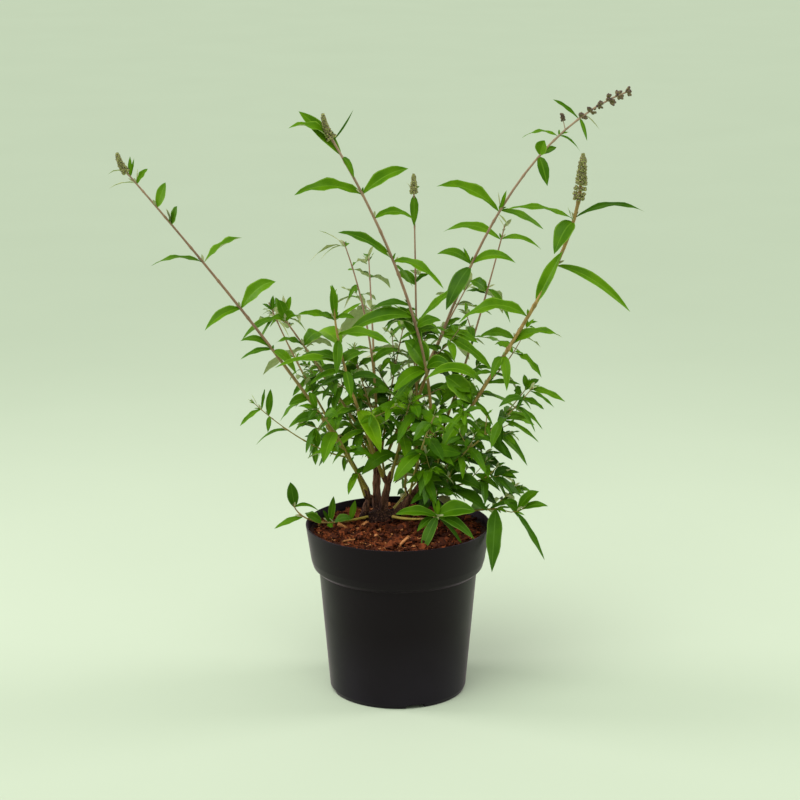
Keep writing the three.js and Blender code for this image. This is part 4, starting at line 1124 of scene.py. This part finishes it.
# ---------------------------------------------------------------- leaves
def leaf_press():
    """Presses a flat blank on each point into an arched, folded and twisted leaf."""
    sheet, given = rule_sheet("leaf press", Columns="Int", Rows="Int", Squeeze="Float",
                              Thickness="Float", Upper="Material", Under="Material",
                              Rib="Material", Rim="Material")
    grid = sheet.geo("MeshGrid", Size_X=2, Size_Y=1, Vertices_X=given("Columns"),
                     Vertices_Y=given("Rows"))
    place = sheet.geo("InputPosition").part("X")
    spread = place.by("ABSOLUTE")
    outward = 1 - (1 - spread ** 1.86) ** given("Squeeze")
    blank = sheet.note(grid, "across", place.by("SIGN") * outward)
    blank = sheet.note(blank, "along", place.out("Y") + 0.5)
    blank = sheet.note(blank, "rib", spread.by("LESS_THAN", RIB_HALF), "BOOLEAN", "FACE")
    # The rim faces: on the outer leaves they carry a painted highlight.
    blank = sheet.note(blank, "rim", spread.by("GREATER_THAN", HIGHLIGHT_RIM_FROM), "BOOLEAN", "FACE")
    lower = sheet.note(sheet.geo("FlipFaces", Mesh=blank), "lower", 1.0)
    lower = sheet.note(lower, "under", True, "BOOLEAN", "FACE")
    both = sheet.geo("JoinGeometry", Geometry=[blank, lower])
    leaves = sheet.geo("InstanceOnPoints", Points=given("Geometry"), Instance=both)
    leaves = sheet.geo("RealizeInstances", Geometry=leaves)

    # a runs across the blade from -1 to 1, t along it from 0 to 1.
    a, t = sheet.read("across"), sheet.read("along")
    root, ahead, side = (sheet.read(key, "FLOAT_VECTOR") for key in LEAF_VECTORS)
    size, droop, wide, fold, wave, bend, twist, phase = map(sheet.read, LEAF_NUMBERS)
    fall = lambda length: sheet.work_out("MULTIPLY", (0, 0, -1), length)
    tangent = (ahead + fall(droop * t) + side * (bend * t * 2)).by("NORMALIZE")
    face = tangent.by("CROSS_PRODUCT", side).by("NORMALIZE")
    turn = twist * t
    beside = side * turn.by("COSINE") + face * turn.by("SINE")
    above = face * turn.by("COSINE") - side * turn.by("SINE")
    profile = (t / WIDEST) ** 0.9 * ((1 - t) / (1 - WIDEST)).by("MAXIMUM", 0) ** 0.95
    half = size * wide * profile * 0.5
    edge = a.by("ABSOLUTE")
    ripple = (phase + t * 16 + a * 1.3).by("SINE") * wave * size * edge * edge * profile
    lift = edge * half * fold.by("SINE") + ripple
    lift = lift - sheet.read("lower") * given("Thickness") * (1 - edge * edge) * profile
    middle = root + ahead * (size * t) + fall(size * droop * t * t * 0.5)
    middle = middle + side * (size * bend * t * t)
    point = middle + beside * (a * half * fold.by("COSINE")) + above * lift
    leaves = sheet.geo("SetPosition", Geometry=leaves, Position=point)
    leaves = sheet.geo("MergeByDistance", Geometry=leaves, Distance=1e-5)
    leaves = sheet.dressed(leaves, given("Upper"))
    for part in ("rim", "rib", "under"):
        leaves = sheet.dressed(leaves, given(part.title()), sheet.read(part, "BOOLEAN"))
    return close_rule(sheet, leaves)


LEAF_NUMBERS = ("size", "droop", "wide", "fold", "wave", "bend", "twist", "phase")
LEAF_VECTORS = ("root", "ahead", "side")


def press_leaves(name, records, tree, blank, **finishes):
    """One piece of leaves, each from a blank of columns, rows and squeeze towards the rim."""
    columns, rows, squeeze = blank
    piece = piece_by_rule(name, tree, points_with(records, LEAF_NUMBERS, LEAF_VECTORS),
                          Columns=columns, Rows=rows, Squeeze=squeeze,
                          Thickness=LEAF_THICKNESS * MM, **finishes)
    smooth_below(piece, 60)
    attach(piece, "root")


def make_leaves():
    tree = leaf_press()
    under = leaf_felt("leaf_underside", (186, 198, 140), (156, 172, 108))
    felt = leaf_felt("young_felt", (186, 190, 148), (142, 158, 98))
    for tone, (pale, full) in TONES.items():
        upper = leaf_green(tone)
        rib = leaf_felt("rib_" + tone, [min(255, part + 14) for part in pale], pale, 0.6)
        # The outer leaves' rims get a paler, bluer copy of their green: a painted highlight along
        # the edge.
        rim = leaf_felt("edge_" + tone, [part + more for part, more in zip(pale, (34, 28, 44))],
                        [part + more for part, more in zip(pale, (14, 12, 16))])
        for start, kept, blank, edge in (("outer_", OUTER, (8, 12, 2.6), rim),
                                         ("leaves_", LEAVES, (6, 9, 1.0), upper),
                                         ("leaflets_", LEAFLETS, (4, 6, 1.0), upper)):
            if kept[tone]:
                press_leaves(start + tone, kept[tone], tree, blank, Upper=upper, Under=under,
                             Rib=rib, Rim=edge)
    press_leaves("leaflets_felt", LEAFLETS["felt"], tree, (4, 5, 1.0), Upper=felt, Under=under,
                 Rib=felt, Rim=felt)


# ---------------------------------------------------------------- stems
def stem_sweep():
    """Carries a round section along each line of points, as wide as the line says."""
    sheet, given = rule_sheet("stem sweep", Sides="Int", Relief="Float", Bark="Material")
    curve = sheet.geo("MeshToCurve", Mesh=given("Geometry"))
    ring = sheet.geo("CurvePrimitiveCircle", Resolution=given("Sides"), Radius=1.0)
    tube = sheet.geo("CurveToMesh", Curve=curve, Profile_Curve=ring, Scale=sheet.read("radius"),
                     Fill_Caps=True)
    rough = sheet.noise(sheet.geo("InputPosition"), 240.0, 2.0)
    push = sheet.geo("InputNormal") * ((rough - 0.5) * given("Relief"))
    tube = sheet.geo("SetPosition", Geometry=tube, Offset=push)
    tube = sheet.geo("RealizeInstances", Geometry=tube)
    return close_rule(sheet, sheet.dressed(tube, given("Bark")))


def wire_mesh(stems):
    """Lines of points with a radius at each, in metres."""
    points, edges, radii = [], [], []
    for line, widths in stems:
        first = len(points)
        points += [point * MM for point in line]
        edges += [(i, i + 1) for i in range(first, first + len(line) - 1)]
        radii += [width * MM for width in widths]
    mesh = bpy.data.meshes.new("wires")
    mesh.from_pydata(points, edges, [])
    mesh.attributes.new("radius", "FLOAT", "POINT").data.foreach_set("value", radii)
    return mesh


def make_wood():
    tree = stem_sweep()
    skin, (olive,) = shoot_skin(), grained("olive_skin")
    made = {}
    for name, stems, sides, relief, bark in (("canes", CANES, 10, 0.5, cane_bark()),
                                             ("shoots", SHOOTS_WOOD, 8, 0.25, skin),
                                             ("olive_shoots", OLIVE_WOOD, 8, 0.25, olive),
                                             ("twigs", TWIGS_WOOD, 5, 0.1, skin)):
        piece = made[name] = piece_by_rule(name, tree, wire_mesh(stems), Sides=sides,
                                           Relief=relief * MM, Bark=bark)
        smooth_below(piece, 60)
        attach(piece, "root")
    for name, ending in (("canes", "_cane"), ("shoots", "_spray")):
        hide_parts(*(node for node in frame["nodes"] if node.endswith(ending)))


# ---------------------------------------------------------------- buds and capsules
def bud_rule():
    """Sets a small pointed bud on each point: a cup below and the bud above it."""
    sheet, given = rule_sheet("bud rule", Segments="Int", Rings="Int", Cup="Material",
                              Tip="Material")
    ball = sheet.geo("MeshUVSphere", Segments=given("Segments"), Rings=given("Rings"), Radius=0.5)
    in_cup = sheet.geo("InputPosition").part("Z").by("LESS_THAN", 0.24)
    ball = sheet.note(ball, "cup", in_cup, "BOOLEAN", "FACE")
    turn = sheet.node("FunctionNodeAlignRotationToVector", {"axis": "Z"},
                      {"Vector": sheet.read("axis", "FLOAT_VECTOR")})
    size = sheet.read("size")
    width = size * sheet.read("fat")
    buds = sheet.geo("InstanceOnPoints", Points=given("Geometry"), Instance=ball, Rotation=turn,
                     Scale=sheet.xyz(width, width, size))
    buds = sheet.geo("RealizeInstances", Geometry=buds)
    rough = sheet.noise(sheet.geo("InputPosition"), 700.0, 1.0, "Color")
    buds = sheet.geo("SetPosition", Geometry=buds, Offset=(rough - (0.5, 0.5, 0.5)) * 0.0012)
    buds = sheet.dressed(buds, given("Tip"))
    return close_rule(sheet, sheet.dressed(buds, given("Cup"), sheet.read("cup", "BOOLEAN")))


def make_spikes():
    tree = bud_rule()
    calyx, purple, husk, dry = grained("calyx_green", "bud_purple", "capsule_husk",
                                       "capsule_brown")
    for name, records, segments, cup, tip in (("flower_buds", BUDS, 6, calyx, purple),
                                              ("seed_capsules", CAPSULES, 7, husk, dry)):
        piece = piece_by_rule(name, tree, points_with(records, ("size", "fat"), ("axis",)),
                              Segments=segments, Rings=segments - 2, Cup=cup, Tip=tip)
        smooth_below(piece, 70)
        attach(piece, "root")


# ---------------------------------------------------------------- root crown
def make_crown():
    """The woody crown and its cut-back limbs, with the bark's relief."""
    form = bmesh.new()
    form.from_mesh(frame["nodes"]["root_crown"].data)
    bmesh.ops.remove_doubles(form, verts=form.verts, dist=1e-5)
    carrier = placed("crown_carrier", mesh_of(form, "crown"))
    remesh = carrier.modifiers.new("remesh", "REMESH")
    remesh.mode = "VOXEL"
    remesh.voxel_size = CROWN["grid"] * MM
    smooth = carrier.modifiers.new("smooth", "SMOOTH")
    smooth.iterations = CROWN["smoothings"]
    piece = kept_shape("crown_bark", carrier)
    mesh = piece.data
    for vertex, normal in [(each, each.normal.copy()) for each in mesh.vertices]:
        spot = vertex.co / MM
        ridges = noise.fractal(Vector((spot.x / 5, spot.y / 5, spot.z / 16)), 1.0, 2.0, 4)
        strips = noise.fractal(Vector((spot.x / 2.6, spot.y / 2.6, spot.z / 12)), 1.0, 2.0, 2)
        knots = noise.noise(spot / 11)
        push = (CROWN["ridges"] * ridges + CROWN["strips"] * strips + CROWN["knots"] * knots
                + CROWN["swell"])
        vertex.co += normal * push * MM
    mesh.materials.append(crown_skin())
    smooth_below(piece, 80)
    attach(piece, "root")
    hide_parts("root_crown")


def turned(form, outline, sides, spot_of):
    """Joins loops of points round an axis, one for each (radius, height) of an outline and a
    single point where the radius is 0. spot_of says where a radius, height and turn lie."""
    loops = []
    for radius, height in outline:
        turns = [2 * math.pi * i / sides for i in range(sides if radius else 1)]
        loops.append([form.verts.new(spot_of(radius, height, turn) * MM) for turn in turns])
    bands = []
    for one, two in zip(loops, loops[1:]):
        bands.append([form.faces.new(dict.fromkeys(
            (one[i % len(one)], one[(i + 1) % len(one)], two[(i + 1) % len(two)],
             two[i % len(two)]))) for i in range(sides)])
    return bands


def make_cut_ends():
    """The sawn face on the end of each limb: pith, pale wood and a rim of bark."""
    outline = ((0.0, 0.9), (0.22, 0.55), (0.5, 0.75), (0.82, 0.7), (1.06, 0.3), (1.12, -1.4),
               (0.0, -2.0))
    form = bmesh.new()
    for number, limb in enumerate(LIMBS.values()):
        direction = aim(limb["heading"], limb["lean"])
        end = Vector(limb["foot"]) + direction * limb["length"]
        turned_by = direction.to_track_quat("Z", "Y").to_matrix()

        def spot_of(share, rise, turn):
            wobble = 1 + 0.08 * noise.noise(Vector((math.cos(turn), math.sin(turn), number * 3)))
            local = Vector((share * wobble * math.cos(turn), share * wobble * math.sin(turn), 0))
            return end + turned_by @ (local * limb["tip"] + UP * rise)

        for finish, band in zip((1, 0, 0, 2, 2, 2), turned(form, outline, 16, spot_of)):
            for face in band:
                face.material_index = finish
    bmesh.ops.recalc_face_normals(form, faces=form.faces)
    piece = placed("cut_ends", mesh_of(form, "cut_ends"),
                   *grained("cut_wood", "cut_pith", "cut_rim"))
    smooth_below(piece, 50)
    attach(piece, "root")


# ---------------------------------------------------------------- mulch
def lathe(name, outline, sides, shape=lambda point: point):
    """A closed outline of (radius, height), from axis to axis, turned round the Z axis."""
    form = bmesh.new()
    turned(form, outline, sides, lambda radius, height, turn: shape(
        Vector((radius * math.cos(turn), radius * math.sin(turn), height))))
    bmesh.ops.recalc_face_normals(form, faces=form.faces)
    return mesh_of(form, name)


def pot_inside():
    """The pot's inner line, from the axis out over the floor and up to the rim."""
    wall, foot = POT["wall"], POT["height"] - POT["collar_depth"]
    raised = POT["floor"] + POT["channel"]
    return [
        (0, POT["floor"]),
        (POT["disc"] + 1, POT["floor"]),
        (POT["disc"] + POT["slope"], raised),
        (POT["base"] - wall, raised),
        (POT["neck"] - wall, foot - 5),
        (POT["collar_foot"] - wall, foot + wall + 2),
        (POT["collar_top"] - wall, POT["height"] - POT["collar_drop"]),
        (POT["rim"] - wall, POT["height"]),
    ]


def mulch_lump(point):
    """Lifts the mulch's top into clods and hollows, but not its edge."""
    share = max(0.0, min(1.0, (point.z - MULCH["lumps_from"]) / 2))
    coarse = noise.fractal(point / MULCH["clod_size"], 1.0, 2.0, 3)
    fine = noise.noise(point / MULCH["crumb_size"])
    edge = 1 if math.hypot(point.x, point.y) < MULCH["lumps_within"] else 0
    return point + UP * (MULCH["clod"] * coarse + MULCH["crumb"] * fine) * share * edge


def make_mulch():
    gap, top, edge, count = MULCH["wall_gap"], MULCH["top"], MULCH["edge"], MULCH["rings"]
    wall = [(max(0, radius - gap), height + gap) for radius, height in pot_inside()]
    below = [(radius, height) for radius, height in wall if height < edge]
    (low_radius, low_height), (top_radius, top_height) = below[-1], wall[-1]
    rise = (edge - low_height) / (top_height - low_height)
    edge_radius = low_radius + (top_radius - low_radius) * rise
    surface = []
    for i in range(count + 1):
        radius = edge_radius * (1 - i / count)
        slope = max(0.0, (radius - MULCH["heap"]) / (edge_radius - MULCH["heap"]))
        surface.append((radius, top - (top - edge) * slope))
    body = placed("mulch_bed", lathe("mulch_bed", below + surface, MULCH["sides"], mulch_lump),
                  *grained("mulch_dark"))
    smooth_below(body, 50)
    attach(body, "root")
    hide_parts("mulch")
    rust, brown, straw = grained("chip_rust", "chip_brown", "chip_straw")
    chips = piece_by_rule("bark_chips", chip_rule(), body.data.copy(), Rust=rust, Brown=brown,
                          Straw=straw, **CHIPS_TO_A_SQUARE_METRE)
    smooth_below(chips, 40)
    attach(chips, "root")


def chip_rule():
    """Strews flakes and shreds of bark over the top of the mulch."""
    sheet, given = rule_sheet("chip rule", Coarse="Float", Fine="Float", Rust="Material",
                              Brown="Material", Straw="Material")
    is_top = sheet.geo("InputNormal").part("Z").by("GREATER_THAN", 0.3) * (
        sheet.geo("InputPosition").part("Z").by("GREATER_THAN", 0.18))
    off_axis = (sheet.geo("InputPosition") * (1, 1, 0)).by("LENGTH")
    kinds = []
    for seed, (density, (reach, sides, length, width, depth)) in enumerate(CHIPS.items()):
        def random(low, high, draw):
            return sheet.node("FunctionNodeRandomValue", {"data_type": "FLOAT"},
                              {"Min": low, "Max": high, "Seed": seed + draw}, "Value")

        spots = sheet.geo("DistributePointsOnFaces", Mesh=given("Geometry"), Seed=seed,
                          Selection=is_top * off_axis.by("LESS_THAN", reach),
                          Density=given(density))
        bar = sheet.geo("MeshCylinder", None, "Mesh", Vertices=sides, Side_Segments=3, Radius=0.5,
                        Depth=1.0)
        yaw, pitch, spin = (random(-math.pi, math.pi, 10), random(0.75, 1.9, 20),
                            random(-0.9, 0.9, 30))
        turn = sheet.node("FunctionNodeEulerToRotation", None, {0: sheet.xyz(spin, pitch, yaw)})
        scale = sheet.xyz(random(0.6 * depth, 1.3 * depth, 40),
                          random(0.5 * width, 1.4 * width, 50),
                          random(0.35 * length, 1.3 * length, 60))
        chips = sheet.geo("InstanceOnPoints", Points=spots, Instance=bar, Rotation=turn,
                          Scale=scale)
        kinds.append(sheet.note(chips, "kind", random(0.0, 1.0, 70), "FLOAT", "INSTANCE"))
    chips = sheet.geo("JoinGeometry", Geometry=kinds)
    chips = sheet.geo("RealizeInstances", Geometry=chips)
    rough = sheet.noise(sheet.geo("InputPosition"), 190.0, 2.0, "Color")
    chips = sheet.geo("SetPosition", Geometry=chips, Offset=(rough - (0.5, 0.5, 0.36)) * 0.006)
    chips = sheet.dressed(chips, given("Rust"))
    for name, start in (("Brown", BROWN_FROM), ("Straw", STRAW_FROM)):
        chips = sheet.dressed(chips, given(name), sheet.read("kind").by("GREATER_THAN", start))
    return close_rule(sheet, chips)


# ---------------------------------------------------------------- pot
def rounded(outline, radii, steps=5):
    """An outline with its corners rounded; radii gives a radius by the corner's number."""
    result = []
    for i, point in enumerate(outline):
        radius = radii.get(i, 0)
        if not radius:
            result.append(point)
            continue
        here = Vector(point)
        back = (Vector(outline[i - 1]) - here).normalized()
        forth = (Vector(outline[i + 1]) - here).normalized()
        half = math.acos(max(-1, min(1, back.dot(forth)))) / 2
        reach = radius / math.tan(half)
        middle = here + (back + forth).normalized() * (radius / math.sin(half))
        start = here + back * reach - middle
        swing = start.angle_signed(here + forth * reach - middle)
        for k in range(steps + 1):
            turn = -swing * k / steps
            result.append(tuple(middle + Vector((
                start.x * math.cos(turn) - start.y * math.sin(turn),
                start.x * math.sin(turn) + start.y * math.cos(turn)))))
    return result


def pot_cutters():
    """The notches under the foot ring and the drain holes, as one mesh of cutters."""
    form = bmesh.new()

    def places(count, first, ring):
        for i in range(count):
            turn = math.radians(NOTCH["first_turn"] + 360 / count * (i + first))
            yield Matrix.Rotation(turn, 4, "Z") @ Matrix.Translation((ring * MM, 0, 0))

    size = Vector((POT["foot_width"] * 3, NOTCH["width"], NOTCH["height"] * 2)) * MM
    for place in places(NOTCH["count"], 0, POT["base"]):
        bmesh.ops.create_cube(form, size=1, matrix=place @ Matrix.Diagonal((*size, 1)))
    radius = DRAIN["radius"] * MM
    for place in places(DRAIN["count"], 0.5, DRAIN["ring"]):
        bmesh.ops.create_cone(form, cap_ends=True, segments=24, radius1=radius, radius2=radius,
                              depth=20 * MM, matrix=place)
    return placed("pot_cutters", mesh_of(form, "pot_cutters"))


def make_pot():
    height, foot = POT["height"], POT["height"] - POT["collar_depth"]
    outside = [
        (0, 0),
        (POT["disc"], 0),
        (POT["disc"] + POT["slope"], POT["channel"]),
        (POT["base"] - POT["foot_width"] - 2, POT["channel"]),
        (POT["base"] - POT["foot_width"], 0),
        (POT["base"] - 2, 0),
        (POT["base"], 5),
        (POT["neck"], foot),
        (POT["collar_foot"] - 1.5, foot),
        (POT["collar_foot"] + 3.5, foot + 4.5),
        (POT["collar_top"], height - POT["collar_drop"]),
        (POT["rim"], height),
        (POT["rim"] - POT["wall"], height),
    ]
    corners = {5: 1.2, 6: 3, 7: 0.8, 8: 1.0, 9: 4, 10: 9, 11: 0.75, 12: 0.75}
    outline = rounded(outside + pot_inside()[::-1][1:], corners)
    carrier = placed("pot_carrier", lathe("pot", outline, POT["sides"]))
    cutters = pot_cutters()
    cut = carrier.modifiers.new("cut", "BOOLEAN")
    cut.operation = "DIFFERENCE"
    cut.solver = "EXACT"
    cut.object = cutters
    piece = kept_shape("pot_shell", carrier)
    bpy.data.objects.remove(cutters)
    piece.data.materials.clear()
    piece.data.materials.append(pot_plastic())
    smooth_below(piece, 35)
    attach(piece, "root")
    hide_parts("pot")


# ---------------------------------------------------------------- stage, camera and light
def make_stage():
    form = bmesh.new()
    bmesh.ops.create_grid(form, x_segments=1, y_segments=1, size=FLOOR)
    placed("floor", mesh_of(form, "floor"), floor_paper())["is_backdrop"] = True


def make_camera():
    data = bpy.data.cameras.new("camera")
    data.sensor_width = 36
    data.lens = data.sensor_width * CAMERA["focal"] / CAMERA["picture"]
    data.shift_x = CAMERA["shift"]
    data.dof.use_dof = False
    camera = placed("camera", data)
    camera.location = CAMERA["place"]
    camera.rotation_euler = (math.radians(90 - CAMERA["down"]), 0, 0)
    bpy.context.scene.camera = camera


def lamp(name, kind, place, target, **settings):
    """A lamp that shines from a place at a target and is not seen itself."""
    data = bpy.data.lights.new(name, kind)
    for key, value in settings.items():
        setattr(data, key, value)
    made = placed(name, data)
    made.location = place
    made.rotation_euler = (Vector(target) - Vector(place)).to_track_quat("-Z", "Y").to_euler()
    made.visible_camera = False


def make_light():
    for name, side, power in (("left_wall", -2.2, 9), ("right_wall", 2.2, 7)):
        lamp(name, "AREA", (side, 0.4, 1.1), (0, 0, 0.45), shape="RECTANGLE", size=1.0,
             size_y=1.2, spread=math.radians(90), energy=power, color=(1, 0.87, 0.97))
    daylight = (1, 0.985, 0.95)
    lamp("sky_panel", "SUN", (0, 0, 0), (0.25, 0.45, -1), energy=1.65, angle=math.radians(45),
         color=daylight)
    world = bpy.data.worlds.new("studio")
    bpy.context.scene.world = world
    world.use_nodes = True
    sky = world.node_tree.nodes["Background"]
    sky.inputs["Color"].default_value = (*daylight, 1)
    sky.inputs["Strength"].default_value = 0.62
    bpy.context.scene.view_settings.view_transform = "Standard"


# ---------------------------------------------------------------- the whole
make_camera()
make_light()
make_stage()
grow_bush()
make_leaves()
make_wood()
make_spikes()
make_crown()
make_cut_ends()
make_mulch()
make_pot()

VISUAL_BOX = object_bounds()
[[list(corner) for corner in box] for box in (CAD_BOX, VISUAL_BOX)]
